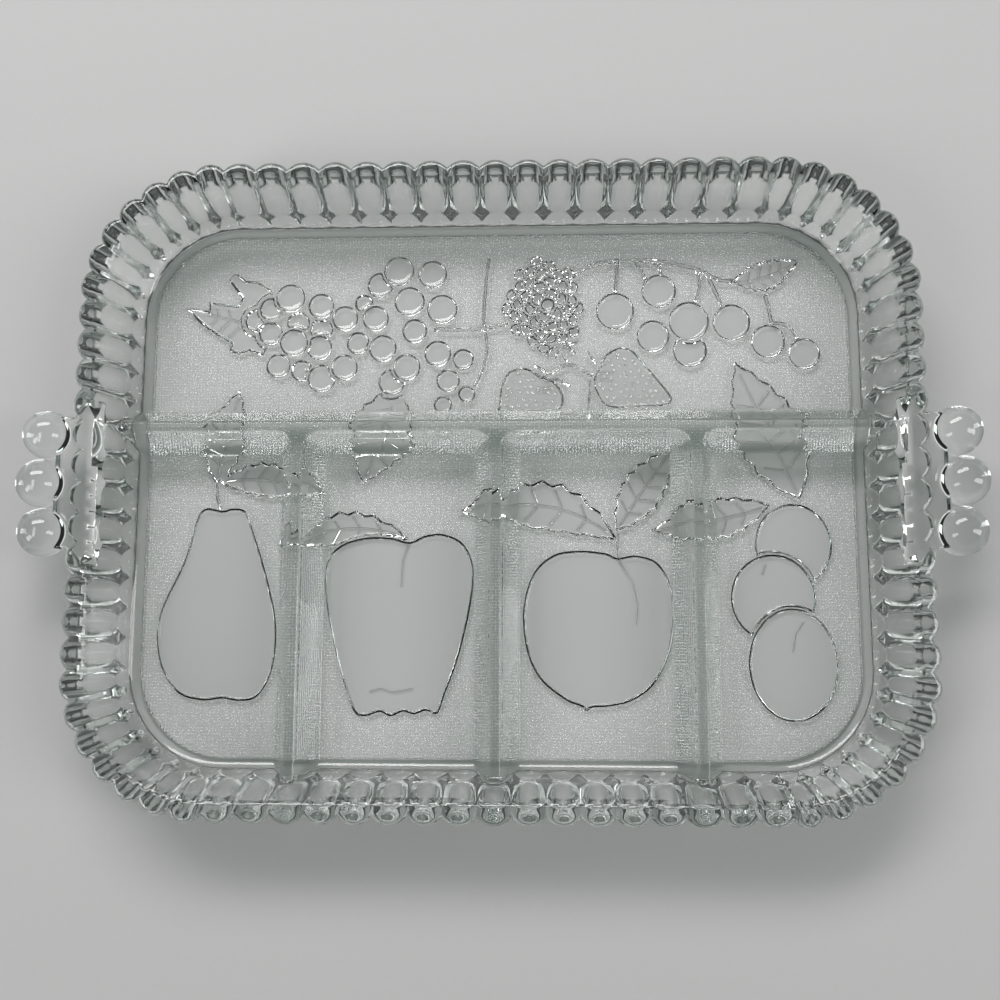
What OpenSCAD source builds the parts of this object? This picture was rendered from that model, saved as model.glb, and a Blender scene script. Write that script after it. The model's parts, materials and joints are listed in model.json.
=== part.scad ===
// Divided relish tray of clear pressed glass, with a fluted wall and three-ball handles.
// X runs along the width, Y to the back and Z up. The origin is under the middle of the tray,
// on the surface that it stands on.

/* [Tray] */
// Width over the flutes at the rim, without the handles
rim_w = 291; // [275:1:315]
// Depth over the flutes at the rim
rim_d = 227; // [215:1:245]
// Height of the rim above the table
rim_h = 30; // [28:0.5:36]
// Corner radius over the flutes at the rim
corner_r = 50; // [46:1:56]
// Thickness of the floor
floor_t = 4; // [3:0.25:5]
// Height of the foot under the floor
foot_h = 2; // [1.75:0.25:3]

/* [Wall] */
// Distance from the flutes at the rim in to the edge of the flat floor
wall_run = 19.3; // [18:0.1:21]
// How far the outside of the wall leans out between the foot and the rim
wall_lean = 10; // [8:0.5:11]
// Thickness of the rim, from the flutes to its smooth inner edge
rim_t = 8.1; // [7.5:0.1:9]
// Radius of the cove between the floor and the wall
cove_r = 5; // [4:0.25:6]
// Rounding of the rim's edges
rim_round = 2.2; // [1.4:0.1:2.6]
// Width of the foot
foot_w = 5.5; // [4:0.25:6]
// Distance from the edge of the flat floor out to the foot
foot_inset = 1; // [0.5:0.25:2]

/* [Flutes] */
// Distance between flutes that each side comes nearest to
flute_pitch = 11; // [10:0.25:13]
// Depth of the grooves between flutes
flute_depth = 2.6; // [2:0.1:3]
// Height of the flutes' round ends above the table
flute_start = 1; // [0.5:0.1:1.5]

/* [Dividers] */
// Height of the dividers above the floor
divider_h = 12; // [9:0.5:14]
// Width of a divider at the floor
divider_base = 16.4; // [14:0.2:20]
// Width of the flat crest of a divider
divider_crest = 3.5; // [2:0.25:5]
// Rounding of the crest's edges
crest_round = 2; // [1:0.25:3]
// Distance of the long divider behind the middle of the tray
long_divider_y = 20.5; // [10:0.5:30]
// Distance of the side dividers from the middle one, as a share of half the tray's width
divider_share = 0.478; // [0.42:0.002:0.52]

/* [Handles] */
// Diameter of a ball
ball_d = 16.9; // [14:0.1:16.9]
// Distance between the balls of a handle along the wall
ball_pitch = 17; // [17:0.1:20]
// Distance from the flutes at the rim out to the middle ball's centre
ball_reach = 12.1; // [11:0.1:16]
// How far the outer balls sit behind the middle one
ball_set_back = 1.5; // [0:0.1:2]
// Height of the balls' centres above the table
ball_h = 21.4; // [18:0.1:21.4]
// Thickness of the web that carries the balls
web_t = 7; // [5:0.25:8]
// Distance from the outer balls' centres in to the web's edge
web_inset = 4; // [3:0.25:5]
// Length by which the web reaches past an outer ball's centre along the wall
web_grip = 6; // [4:0.25:7]
// Radius of the hollow curve where the web meets the wall
web_fillet = 6; // [4:0.25:7]

/* [Relief] */
// Depth of the fruit relief under the floor
relief_h = 1.4; // [0.8:0.1:1.6]
// Width of the pear
pear_w = 43; // [36:0.5:44]
// Length of the pear
pear_l = 68.5; // [55:0.5:70]
// Width of the pepper
pepper_w = 53.5; // [40:0.5:54]
// Length of the pepper
pepper_l = 64; // [50:0.5:65]
// Width of the apple
apple_w = 53.5; // [40:0.5:54]
// Length of the apple
apple_l = 56; // [45:0.5:57]
// Width of the front plum
plum_w = 31; // [24:0.5:32]
// Length of the front plum
plum_l = 39; // [32:0.5:40]
// Diameter of a full-size grape
grape_d = 11.2; // [9:0.1:11.6]
// Diameter of a full-size cherry
cherry_d = 14; // [10:0.1:14.4]
// Diameter of the bramble berry's drupelets
drupelet_d = 5.2; // [4.4:0.1:5.8]
// Width of the bramble berry
bramble_w = 32; // [24:0.5:32]
// Length of the bramble berry
bramble_l = 38; // [30:0.5:38]
// Width of the larger strawberry
strawberry_w = 28; // [20:0.5:29]
// Height of the larger strawberry
strawberry_l = 22.5; // [16:0.5:23]
// Width of a stem
stem_w = 1.6; // [1.2:0.1:2]
// Gap round a fruit that lies over another one or over a leaf
lap_gap = 0.6; // [0.4:0.05:0.9]

/* [Hidden] */
$fn = 64;
cap_fn = 160;
glass = [0.84, 0.92, 0.88, 0.6];
overrun = 6;

// Levels and plan sizes
floor_top = foot_h + floor_t;
half_w = rim_w / 2 - wall_run;
half_d = rim_d / 2 - wall_run;
corner_in = corner_r - wall_run;
long_run = rim_w - 2 * corner_r;
short_run = rim_d - 2 * corner_r;
corner_run = PI / 2 * corner_r;

function reversed(list) = [for (i = [len(list) - 1 : -1 : 0]) list[i]];

// Outside of the wall: a line through the flutes' tops from the foot to the rim, where u is the distance
// out from the edge of the flat floor
lean_angle = atan2(wall_lean, rim_h - foot_h);
heel_u = wall_run - wall_lean;
function outer_u(z) = heel_u + (z - foot_h) * tan(lean_angle);

// Inside of the wall: a line from the rim's inner edge, tangent to the cove that rises from the floor
rim_in_u = wall_run - rim_t;
cove_z = floor_top + cove_r;
inner_angle = acos(cove_r / norm([rim_in_u, rim_h - cove_z])) - atan2(rim_h - cove_z, rim_in_u);
function inner_u(z) = rim_in_u - (rim_h - z) * tan(inner_angle);
cove_steps = 6;
cove_points = [for (i = [0 : cove_steps])
    let (a = -90 + i * (90 - inner_angle) / cove_steps)
    [cove_r * cos(a), cove_z + cove_r * sin(a)]];

// Rounding of the rim, as shares of rim_round out from its flat top and down
round_shares = [[-1, 0], [-0.35, -0.25], [0, -1]];
rim_in_points = [for (s = round_shares)
    [inner_u(rim_h + s[1] * rim_round) - s[0] * rim_round, rim_h + s[1] * rim_round]];
rim_out_points = [for (s = round_shares) [wall_run + s[0] * rim_round, rim_h + s[1] * rim_round]];

// Limits of the wall's section, from the foot round the outside to the rim and down the inside
wall_limit = concat(
    [[0, foot_h], [foot_inset, foot_h], [foot_inset, 0], [wall_run + overrun, 0],
        [wall_run + overrun, rim_h - rim_round - overrun]],
    reversed(rim_out_points), rim_in_points, reversed(cove_points));

// Backing of the flutes: makes the foot and the heel, and stays behind the grooves above them
backing_share = 1.6;
backing_u = outer_u(rim_h + overrun) - backing_share * flute_depth;
foot_out = foot_inset + foot_w;
wall_backing = [[-overrun, -overrun], [foot_out, -overrun], [foot_out, foot_h],
    [backing_u, rim_h + overrun], [-overrun, rim_h + overrun]];

// Flutes: counts from the pitch, and radii from the real pitch and the grooves' depth
long_flutes = round(long_run / flute_pitch);
short_flutes = round(short_run / flute_pitch);
corner_flutes = round(corner_run / flute_pitch);
function flute_r(pitch) = (pow(pitch / 2, 2) + pow(flute_depth, 2)) / (2 * flute_depth);
// Where a flute of radius r has its axis at height z
function axis_u(z, r) = outer_u(z - r * sin(lean_angle)) - r * cos(lean_angle);

// Places of the side dividers
divider_pitch = divider_share * rim_w / 2;

// Section of a divider: a slope that rises from the floor, tangent to the rounding of the crest
slope_run = (divider_base - divider_crest) / 2;
crest_centre = [slope_run, divider_h - crest_round];
slope_angle = atan2(crest_centre[1], crest_centre[0]) + asin(crest_round / norm(crest_centre));
crest_steps = 4;
slope_points = concat([[0, 0]], [for (i = [0 : crest_steps])
    let (a = 90 + slope_angle * (1 - i / crest_steps))
    crest_centre + crest_round * [cos(a), sin(a)]]);
divider_section = concat(
    [for (p = slope_points) [p[0] - divider_base / 2, floor_top + p[1]]],
    [for (p = reversed(slope_points)) [divider_base / 2 - p[0], floor_top + p[1]]]);

// Section of the space between two facing walls, whose floor edges lie at the given distance either side
function cavity_side(half) = concat([[half, floor_top - overrun]],
    [for (p = cove_points) [half + p[0], p[1]]], [[half + rim_in_u, rim_h]]);
function cavity(half) = concat(cavity_side(half), [for (p = reversed(cavity_side(half))) [-p[0], p[1]]]);

// Handles
ball_x = rim_w / 2 + ball_reach;
web_low = ball_h - web_t / 2;
web_root_u = (outer_u(web_low) - flute_depth + inner_u(web_low + web_t)) / 2;
web_end_x = ball_x - ball_set_back - web_inset;

// Places under the floor, as shares of its half width and half depth
function place(shares) = [shares[0] * half_w, shares[1] * half_d];

// Grapes: place and share of grape_d, from those in front to those half hidden
grape_shares = [[-0.29, 0.867, 1], [-0.191, 0.852, 0.95], [-0.258, 0.743, 1], [-0.162, 0.711, 1],
    [-0.609, 0.761, 0.97], [-0.518, 0.728, 0.86], [-0.447, 0.677, 0.86], [-0.357, 0.676, 0.87],
    [-0.335, 0.555, 0.91], [-0.174, 0.533, 0.88], [-0.446, 0.48, 0.88], [-0.264, 0.479, 0.9],
    [-0.596, 0.581, 0.93], [-0.521, 0.56, 0.85], [-0.512, 0.437, 0.94], [-0.64, 0.489, 0.81],
    [-0.143, 0.425, 0.77], [-0.242, 0.624, 0.82], [-0.089, 0.372, 0.56], [-0.158, 0.329, 0.6],
    [-0.1, 0.51, 0.7], [-0.345, 0.811, 0.86], [-0.665, 0.717, 0.8], [-0.665, 0.619, 0.8],
    [-0.407, 0.577, 0.76], [-0.307, 0.422, 0.88], [-0.57, 0.468, 0.73], [-0.584, 0.66, 0.77],
    [-0.516, 0.635, 0.77], [-0.707, 0.671, 0.8], [-0.392, 0.737, 0.62]];

// Cherries: place and share of cherry_d, from those in front to those half hidden
cherry_shares = [[0.341, 0.697, 0.99], [0.468, 0.776, 0.9], [0.553, 0.654, 1.04], [0.675, 0.648, 0.97],
    [0.778, 0.572, 0.88], [0.88, 0.522, 0.82], [0.449, 0.596, 0.85], [0.554, 0.538, 0.88]];

// Bramble berry: its middle, the turn from one drupelet to the next, and the share of its plan that
// a drupelet takes up behind those in front
bramble_shares = [0.134, 0.725];
golden_turn = 137.508;
drupelet_share = 0.8;
drupelet_run_w = bramble_w - drupelet_d;
drupelet_run_l = bramble_l - drupelet_d;
drupelets = round(drupelet_run_w * drupelet_run_l / (drupelet_share * pow(drupelet_d, 2)));
drupelet_shares = [for (i = [0 : drupelets - 1])
    let (reach = sqrt((i + 0.5) / drupelets) / 2, a = i * golden_turn)
    [bramble_shares[0] + reach * drupelet_run_w * cos(a) / half_w,
        bramble_shares[1] + reach * drupelet_run_l * sin(a) / half_d, 1]];

// Outlines as shares of half the width and of the length, clockwise from the middle of the top
pear_outline_shares = [[0.03, 0.012], [0.2, 0], [0.42, 0.015], [0.55, 0.11], [0.83, 0.374], [1, 0.62],
    [0.95, 0.84], [0.72, 0.975], [0.43, 1], [0.14, 0.988], [-0.2, 0.998], [-0.6, 0.96], [-0.9, 0.83],
    [-1, 0.65], [-0.9, 0.5], [-0.58, 0.273], [-0.4, 0.06], [-0.25, 0]];
pear_shares = [-0.794, -0.072];
pepper_outline_shares = [[0.14, 0.043], [0.35, 0.006], [0.6, 0], [0.86, 0.055], [1, 0.2], [0.95, 0.42],
    [0.8, 0.68], [0.62, 0.89], [0.53, 0.985], [0.38, 0.97], [0.22, 0.99], [0.08, 0.975], [-0.08, 1],
    [-0.23, 0.978], [-0.4, 1], [-0.55, 0.985], [-0.66, 0.88], [-0.85, 0.63], [-0.98, 0.36],
    [-0.98, 0.17], [-0.8, 0.065], [-0.45, 0.018], [-0.1, 0.02]];
pepper_shares = [-0.278, -0.173];
apple_outline_shares = [[0.26, 0.045], [0.5, 0.03], [0.78, 0.075], [0.95, 0.214], [1, 0.4], [0.92, 0.64],
    [0.7, 0.84], [0.4, 0.94], [0.1, 0.972], [-0.09, 0.978], [-0.17, 1], [-0.24, 0.972], [-0.45, 0.93],
    [-0.77, 0.805], [-0.95, 0.62], [-0.99, 0.36], [-0.85, 0.139], [-0.58, 0.025], [-0.24, 0], [0.1, 0.015]];
apple_shares = [0.284, -0.236];

// Strawberries: the middle of the top, and shares of strawberry_w and strawberry_l
strawberry_shares = [[0.096, 0.474, 0.854, 0.805], [0.389, 0.553, 1, 1]];
strawberry_outline_shares = [[[-0.25, 0], [0.1, 0.08], [0.35, 0.2], [0.7, 0.28], [0.95, 0.5], [0.98, 0.76],
    [0.77, 0.91], [0.2, 0.96], [-0.6, 1], [-1, 0.99], [-0.96, 0.7], [-0.9, 0.35], [-0.66, 0.08]],
    [[-0.3, 0], [0.05, 0.08], [0.45, 0.38], [0.88, 0.71], [1, 0.86], [0.88, 0.965], [0.3, 0.99],
    [-0.47, 1], [-0.82, 0.9], [-1, 0.63], [-0.97, 0.43], [-0.86, 0.324], [-0.7, 0.13]]];

// Plums, from the front one to the back one: the middle, and shares of plum_w and plum_l
plum_shares = [[0.82, -0.659, 1, 1], [0.77, -0.414, 0.955, 0.79], [0.83, -0.215, 0.87, 0.753]];
plum_steps = 45;

// Leaves: base, tip, and how far the left and right edges bulge, as shares of the leaf's length
leaf_shares = [[-0.294, 0.398, -0.39, 0.015, 0.34, 0.3], [0.682, 0.813, 0.881, 0.898, 0.16, 0.3],
    [-0.809, 0.021, -0.748, 0.402, 0.25, 0.19], [-0.802, 0.03, -0.498, -0.018, 0.25, 0.1],
    [-0.248, -0.193, -0.645, -0.224, 0.02, 0.24], [0.339, -0.195, -0.127, -0.089, 0.02, 0.29],
    [0.336, -0.16, 0.51, 0.176, 0.22, 0.2], [0.769, -0.063, 0.424, -0.161, 0.2, 0.15],
    [0.853, -0.041, 0.677, 0.501, 0.22, 0.24]];
lobed_leaf_shares = [[-0.925, 0.73], [-0.852, 0.719], [-0.851, 0.751], [-0.767, 0.736], [-0.757, 0.761],
    [-0.797, 0.839], [-0.774, 0.869], [-0.742, 0.84], [-0.708, 0.83], [-0.666, 0.795], [-0.644, 0.731],
    [-0.66, 0.6], [-0.687, 0.528], [-0.728, 0.545], [-0.758, 0.536], [-0.786, 0.549], [-0.783, 0.574],
    [-0.864, 0.65]];
leaf_teeth = 8;
tooth_share = 0.16;
leaf_bulge = 0.85;

// Stems and stalks: places along each one
stem_shares = [
    [[-0.027, 0.915], [-0.036, 0.78], [-0.04, 0.649], [-0.03, 0.56], [-0.045, 0.47], [-0.066, 0.401]],
    [[-0.185, 0.63], [-0.11, 0.627], [-0.04, 0.632], [0.03, 0.65]],
    [[0.215, 0.835], [0.262, 0.875], [0.343, 0.899], [0.459, 0.897], [0.574, 0.865], [0.646, 0.818],
        [0.69, 0.814]],
    [[0.35, 0.9], [0.341, 0.76]], [[0.401, 0.9], [0.44, 0.8]], [[0.578, 0.865], [0.586, 0.8], [0.564, 0.7]],
    [[0.606, 0.845], [0.66, 0.68]], [[0.773, 0.76], [0.789, 0.642], [0.785, 0.6]],
    [[0.789, 0.642], [0.835, 0.631], [0.878, 0.55]],
    [[0.13, 0.43], [0.202, 0.484], [0.275, 0.44]]];

// A closed curve through hand-chosen points
curve_steps = 5;
function curve_point(a, b, c, d, t) = (2 * b + (c - a) * t + (2 * a - 5 * b + 4 * c - d) * t * t
    + (3 * b - a - 3 * c + d) * t * t * t) / 2;
function closed_curve(p) = let (n = len(p)) [for (i = [0 : n - 1], k = [0 : curve_steps - 1])
    curve_point(p[(i + n - 1) % n], p[i], p[(i + 1) % n], p[(i + 2) % n], k / curve_steps)];

// An open curve through hand-chosen points
function open_curve(p) = let (last = len(p) - 1) concat(
    [for (i = [0 : last - 1], k = [0 : curve_steps - 1])
        curve_point(p[max(i - 1, 0)], p[i], p[i + 1], p[min(i + 2, last)], k / curve_steps)],
    [p[last]]);

// The outline of a ribbon of width w along a line of points
function across(from, to) = let (run = to - from) [-run[1], run[0]] / norm(run);
function ribbon_side(p, w) = let (last = len(p) - 1) [for (i = [0 : last])
    p[i] + w / 2 * across(p[max(i - 1, 0)], p[min(i + 1, last)])];
function ribbon(p, w) = concat(ribbon_side(p, w), reversed(ribbon_side(p, -w)));

// The outline of a fruit of width w and length l
function fruit_outline(shares, w, l) = closed_curve([for (p = shares) [p[0] * w / 2, -p[1] * l]]);

// The outline of a leaf from its base to its tip, with teeth on both edges
function leaf_edge(t) = let (tooth = t * leaf_teeth - floor(t * leaf_teeth))
    sin(180 * pow(t, leaf_bulge)) * (1 - tooth_share * tooth);
function leaf_side(base, run, bulge) = [for (i = [1 : 2 * leaf_teeth - 1])
    let (t = i / (2 * leaf_teeth))
    base + t * run + leaf_edge(t) * bulge * [-run[1], run[0]]];
function leaf_outline(base, tip, left, right) = concat([base], leaf_side(base, tip - base, left), [tip],
    reversed(leaf_side(base, tip - base, -right)));

module glass_colour() {
    color(glass) children();
}

// A flute along +Z: a cone whose lower end is round
module flute(r_low, r_high, length) {
    rotate(180) rotate_extrude() {
        polygon([[0, 0], [r_low, 0], [r_high, length], [0, length]]);
        intersection() {
            circle(r_low);
            translate([0, -r_low]) square(r_low);
        }
    }
}

// A flute that leans out along +X, on a wall whose flat floor ends at x = base
module placed_flute(base, r_low, r_high) {
    z_low = flute_start + r_low;
    z_high = rim_h + overrun;
    u_low = axis_u(z_low, r_low);
    u_high = axis_u(z_high, r_high);
    translate([base + u_low, 0, z_low])
        rotate([0, atan2(u_high - u_low, z_high - z_low), 0])
            flute(r_low, r_high, norm([u_high - u_low, z_high - z_low]));
}

// A straight wall whose outside faces +X
module straight_wall(half, run, flutes) {
    pitch = run / flutes;
    r = flute_r(pitch);
    intersection() {
        translate([half, 0, 0]) rotate([90, 0, 0])
            linear_extrude(run, center = true) polygon(wall_limit);
        union() {
            translate([half, 0, 0]) rotate([90, 0, 0])
                linear_extrude(run + overrun, center = true) polygon(wall_backing);
            for (i = [0 : flutes - 1])
                translate([0, (i - (flutes - 1) / 2) * pitch, 0]) placed_flute(half, r, r);
        }
    }
}

// A flute of a corner, cut off where its neighbours begin, from +X round towards +Y
module corner_flute(step, r_low, r_high) {
    intersection() {
        rotate_extrude(angle = step) square([corner_r + overrun, rim_h + overrun]);
        rotate(step / 2) placed_flute(corner_in, r_low, r_high);
    }
}

// A corner of the wall, from +X round to +Y
module corner_wall() {
    step = 90 / corner_flutes;
    r_high = flute_r(corner_run / corner_flutes);
    r_low = r_high * (corner_in + heel_u) / corner_r;
    intersection() {
        rotate_extrude(angle = 90) translate([corner_in, 0]) polygon(wall_limit);
        union() {
            rotate_extrude(angle = 90) translate([corner_in, 0]) polygon(wall_backing);
            for (i = [0 : corner_flutes - 1])
                rotate(i * step) corner_flute(step, r_low, r_high);
        }
    }
}

module placed_corner(side_x, side_y, turn) {
    glass_colour() translate([side_x * long_run / 2, side_y * short_run / 2, 0]) rotate(turn) corner_wall();
}

module side_wall(turn) {
    rotate(turn) straight_wall(half_w, short_run, short_flutes);
}

module end_wall(turn) {
    rotate(turn) straight_wall(half_d, long_run, long_flutes);
}

module front_wall() {
    glass_colour() end_wall(-90);
}

module back_wall() {
    glass_colour() end_wall(90);
}

module left_wall() {
    glass_colour() side_wall(180);
}

module right_wall() {
    glass_colour() side_wall(0);
}

module corner_front_left() {
    placed_corner(-1, -1, 180);
}

module corner_front_right() {
    placed_corner(1, -1, 270);
}

module corner_back_left() {
    placed_corner(-1, 1, 90);
}

module corner_back_right() {
    placed_corner(1, 1, 0);
}

module floor_plate() {
    glass_colour() translate([0, 0, foot_h]) linear_extrude(floor_t) {
        square([2 * half_w, short_run], center = true);
        square([long_run, 2 * half_d], center = true);
        for (x = [-1, 1], y = [-1, 1])
            translate([x * long_run / 2, y * short_run / 2]) circle(corner_in);
    }
}

// The long divider before its ends are cut to the walls
module long_bar() {
    translate([0, long_divider_y, 0]) rotate([90, 0, 90])
        linear_extrude(rim_w, center = true) polygon(divider_section);
}

module long_divider() {
    glass_colour() intersection() {
        long_bar();
        rotate([90, 0, 0]) linear_extrude(rim_d, center = true) polygon(cavity(half_w));
    }
}

module short_divider(x) {
    glass_colour() difference() {
        intersection() {
            translate([x, long_divider_y, 0]) rotate([90, 0, 0])
                linear_extrude(rim_d) polygon(divider_section);
            rotate([90, 0, 90]) linear_extrude(rim_w, center = true) polygon(cavity(half_d));
        }
        long_bar();
    }
}

module left_divider() {
    short_divider(-divider_pitch);
}

module middle_divider() {
    short_divider(0);
}

module right_divider() {
    short_divider(divider_pitch);
}

// A handle's ball on the +X side, where row is -1 for the front, 0 for the middle and 1 for the back
module ball(row) {
    translate([ball_x - abs(row) * ball_set_back, row * ball_pitch, ball_h]) sphere(d = ball_d);
}

// Outline of the web on the +X side, which widens in a hollow curve where it meets the wall
module web_plan() {
    root_x = half_w + web_root_u;
    wall_x = half_w + outer_u(ball_h);
    reach = ball_pitch + web_grip;
    translate([root_x, -reach]) square([web_end_x - root_x, 2 * reach]);
    for (side = [0, 1]) mirror([0, side]) difference() {
        translate([root_x, reach]) square([wall_x + web_fillet - root_x, web_fillet]);
        translate([wall_x + web_fillet, reach + web_fillet]) circle(web_fillet);
    }
}

// The web between the right wall and its balls
module web() {
    difference() {
        translate([0, 0, web_low]) linear_extrude(web_t) web_plan();
        side_wall(0);
        for (row = [-1 : 1]) ball(row);
    }
}

module right_handle_web() {
    glass_colour() web();
}

module left_handle_web() {
    glass_colour() mirror([1, 0, 0]) web();
}

module right_ball_back() {
    glass_colour() ball(1);
}

module right_ball_middle() {
    glass_colour() ball(0);
}

module right_ball_front() {
    glass_colour() ball(-1);
}

module left_ball_back() {
    glass_colour() mirror([1, 0, 0]) ball(1);
}

module left_ball_middle() {
    glass_colour() mirror([1, 0, 0]) ball(0);
}

module left_ball_front() {
    glass_colour() mirror([1, 0, 0]) ball(-1);
}

// Relief that hangs from the underside of the floor
module relief() {
    translate([0, 0, foot_h - relief_h]) linear_extrude(relief_h) children();
}

// A round fruit, as the cap of a sphere on the underside of the floor
module cap(shares, d) {
    r = (pow(d / 2, 2) + pow(relief_h, 2)) / (2 * relief_h);
    translate(concat(place(shares), foot_h - relief_h)) intersection() {
        translate([0, 0, r]) sphere(r, $fn = cap_fn);
        translate([-d, -d, -relief_h]) cube([2 * d, 2 * d, 2 * relief_h]);
    }
}

// Round fruits of a bunch in plan, grown by a gap
module bunch_plan(fruits, d, gap) {
    for (f = fruits) translate(place(f)) circle(f[2] * d / 2 + gap);
}

// Round fruits of a bunch, each cut back where an earlier one lies over it
module bunch(fruits, d) {
    for (i = [0 : len(fruits) - 1]) difference() {
        cap(fruits[i], fruits[i][2] * d);
        for (j = [0 : 1 : i - 1]) let (reach = fruits[j][2] * d / 2 + lap_gap)
            if (norm(place(fruits[j]) - place(fruits[i])) < reach + fruits[i][2] * d / 2)
                translate(concat(place(fruits[j]), -overrun)) cylinder(r = reach, h = foot_h + 2 * overrun);
    }
}

module grape_bunch() {
    glass_colour() bunch(grape_shares, grape_d);
}

module cherries() {
    glass_colour() bunch(cherry_shares, cherry_d);
}

module bramble() {
    glass_colour() bunch(drupelet_shares, drupelet_d);
}

// Plans of the large fruits
module pear_plan() {
    translate(place(pear_shares)) polygon(fruit_outline(pear_outline_shares, pear_w, pear_l));
}

module pepper_plan() {
    translate(place(pepper_shares)) polygon(fruit_outline(pepper_outline_shares, pepper_w, pepper_l));
}

module apple_plan() {
    translate(place(apple_shares)) polygon(fruit_outline(apple_outline_shares, apple_w, apple_l));
}

module plum_plan(shares, gap = 0) {
    translate(place(shares)) polygon([for (i = [0 : plum_steps - 1])
        let (a = i * 360 / plum_steps)
        [(plum_w / 2 * shares[2] + gap) * cos(a), (plum_l / 2 * shares[3] + gap) * sin(a)]]);
}

module strawberry_plan(i) {
    shares = strawberry_shares[i];
    w = shares[2] * strawberry_w;
    l = shares[3] * strawberry_l;
    translate(place(shares)) polygon(fruit_outline(strawberry_outline_shares[i], w, l));
}

module strawberries_plan() {
    for (i = [0 : len(strawberry_shares) - 1]) strawberry_plan(i);
}

module leaf_plan() {
    for (s = leaf_shares) polygon(leaf_outline(place(s), place([s[2], s[3]]), s[4], s[5]));
    polygon([for (p = lobed_leaf_shares) place(p)]);
}

// All that leaves and stems lie behind
module fruit_plan() {
    pear_plan();
    pepper_plan();
    apple_plan();
    strawberries_plan();
    for (p = plum_shares) plum_plan(p, lap_gap);
    bunch_plan(grape_shares, grape_d, lap_gap);
    bunch_plan(cherry_shares, cherry_d, 0);
    bunch_plan(drupelet_shares, drupelet_d, 0);
}

module strawberries() {
    glass_colour() relief() strawberries_plan();
}

module pear() {
    glass_colour() relief() pear_plan();
}

module pepper() {
    glass_colour() relief() pepper_plan();
}

module apple() {
    glass_colour() relief() apple_plan();
}

// Plums, each cut back where an earlier one lies over it
module plums() {
    glass_colour() for (i = [0 : len(plum_shares) - 1]) relief() difference() {
        plum_plan(plum_shares[i]);
        for (j = [0 : 1 : i - 1]) plum_plan(plum_shares[j], lap_gap);
    }
}

module leaves() {
    glass_colour() relief() difference() {
        leaf_plan();
        fruit_plan();
    }
}

module stems() {
    glass_colour() relief() difference() {
        for (s = stem_shares) polygon(ribbon(open_curve([for (p = s) place(p)]), stem_w));
        fruit_plan();
        leaf_plan();
    }
}

floor_plate();
front_wall();
back_wall();
left_wall();
right_wall();
corner_front_left();
corner_front_right();
corner_back_left();
corner_back_right();
long_divider();
left_divider();
middle_divider();
right_divider();
left_handle_web();
right_handle_web();
left_ball_back();
left_ball_middle();
left_ball_front();
right_ball_back();
right_ball_middle();
right_ball_front();
grape_bunch();
bramble();
strawberries();
cherries();
pear();
pepper();
apple();
plums();
leaves();
stems();
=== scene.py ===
"""A divided relish tray of clear pressed glass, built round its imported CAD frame.

The tray is one pressing, so its wall, floor, dividers, handles and fruit relief are made as closed
forms and then joined into one continuous body of glass.
"""

import json
import math

import bmesh
import bpy
import numpy as np
from bpy.props import FloatProperty, FloatVectorProperty, IntProperty, PointerProperty
from mathutils.geometry import delaunay_2d_cdt
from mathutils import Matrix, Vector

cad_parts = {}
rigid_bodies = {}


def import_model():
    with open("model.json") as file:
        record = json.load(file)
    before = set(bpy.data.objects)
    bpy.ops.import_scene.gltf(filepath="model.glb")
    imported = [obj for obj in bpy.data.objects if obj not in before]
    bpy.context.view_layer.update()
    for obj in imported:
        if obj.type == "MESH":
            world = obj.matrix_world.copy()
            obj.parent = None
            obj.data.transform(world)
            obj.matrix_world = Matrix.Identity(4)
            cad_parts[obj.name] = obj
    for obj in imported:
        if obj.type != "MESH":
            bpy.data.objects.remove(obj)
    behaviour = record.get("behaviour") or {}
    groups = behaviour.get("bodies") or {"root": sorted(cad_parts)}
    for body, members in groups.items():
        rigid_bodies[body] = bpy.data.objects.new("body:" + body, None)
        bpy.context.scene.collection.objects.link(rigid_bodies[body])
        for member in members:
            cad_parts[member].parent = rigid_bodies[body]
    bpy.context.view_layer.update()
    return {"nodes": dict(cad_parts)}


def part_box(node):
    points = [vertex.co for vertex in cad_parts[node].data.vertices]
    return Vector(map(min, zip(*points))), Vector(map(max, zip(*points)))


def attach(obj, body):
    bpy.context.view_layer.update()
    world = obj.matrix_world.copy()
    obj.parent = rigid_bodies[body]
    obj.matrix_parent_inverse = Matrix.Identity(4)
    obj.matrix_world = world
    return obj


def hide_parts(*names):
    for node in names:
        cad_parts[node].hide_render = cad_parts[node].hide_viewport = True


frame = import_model()

bl_info = {
    "name": "Pressed Glass Relish Tray",
    "version": (1, 0, 0),
    "blender": (4, 5, 0),
    "location": "View3D > Sidebar > Relish Tray",
    "description": "Presses a divided relish tray of clear glass, with a fluted wall and fruit relief",
    "category": "Add Mesh",
}

# Sizes that come from the frame, in metres
FLOOR_LOW, FLOOR_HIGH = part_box("floor_plate")
HALF_W, HALF_D = FLOOR_HIGH.x, FLOOR_HIGH.y
FOOT_H, FLOOR_TOP = FLOOR_LOW.z, FLOOR_HIGH.z
CORNER_LOW, CORNER_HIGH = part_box("corner_back_right")
CORNER_X, CORNER_Y = CORNER_LOW.x, CORNER_LOW.y
CORNER_R = HALF_W - CORNER_X
RIM_H = CORNER_HIGH.z
LONG_LOW, LONG_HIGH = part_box("long_divider")
SHORT_BOXES = [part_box(name) for name in ("left_divider", "middle_divider", "right_divider")]
RELIEF_H = FOOT_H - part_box("grape_bunch")[0].z
HANDLE_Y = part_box("right_handle_web")[1].y
BALLS = [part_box(f"{side}_ball_{row}")
         for side in ("left", "right") for row in ("back", "middle", "front")]
MM = 0.001
WELD = 1e-6


def length(name, default, description):
    """A size that a user can change."""
    return FloatProperty(name=name, default=default, description=description, unit="LENGTH", min=0,
                         precision=5)


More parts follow.
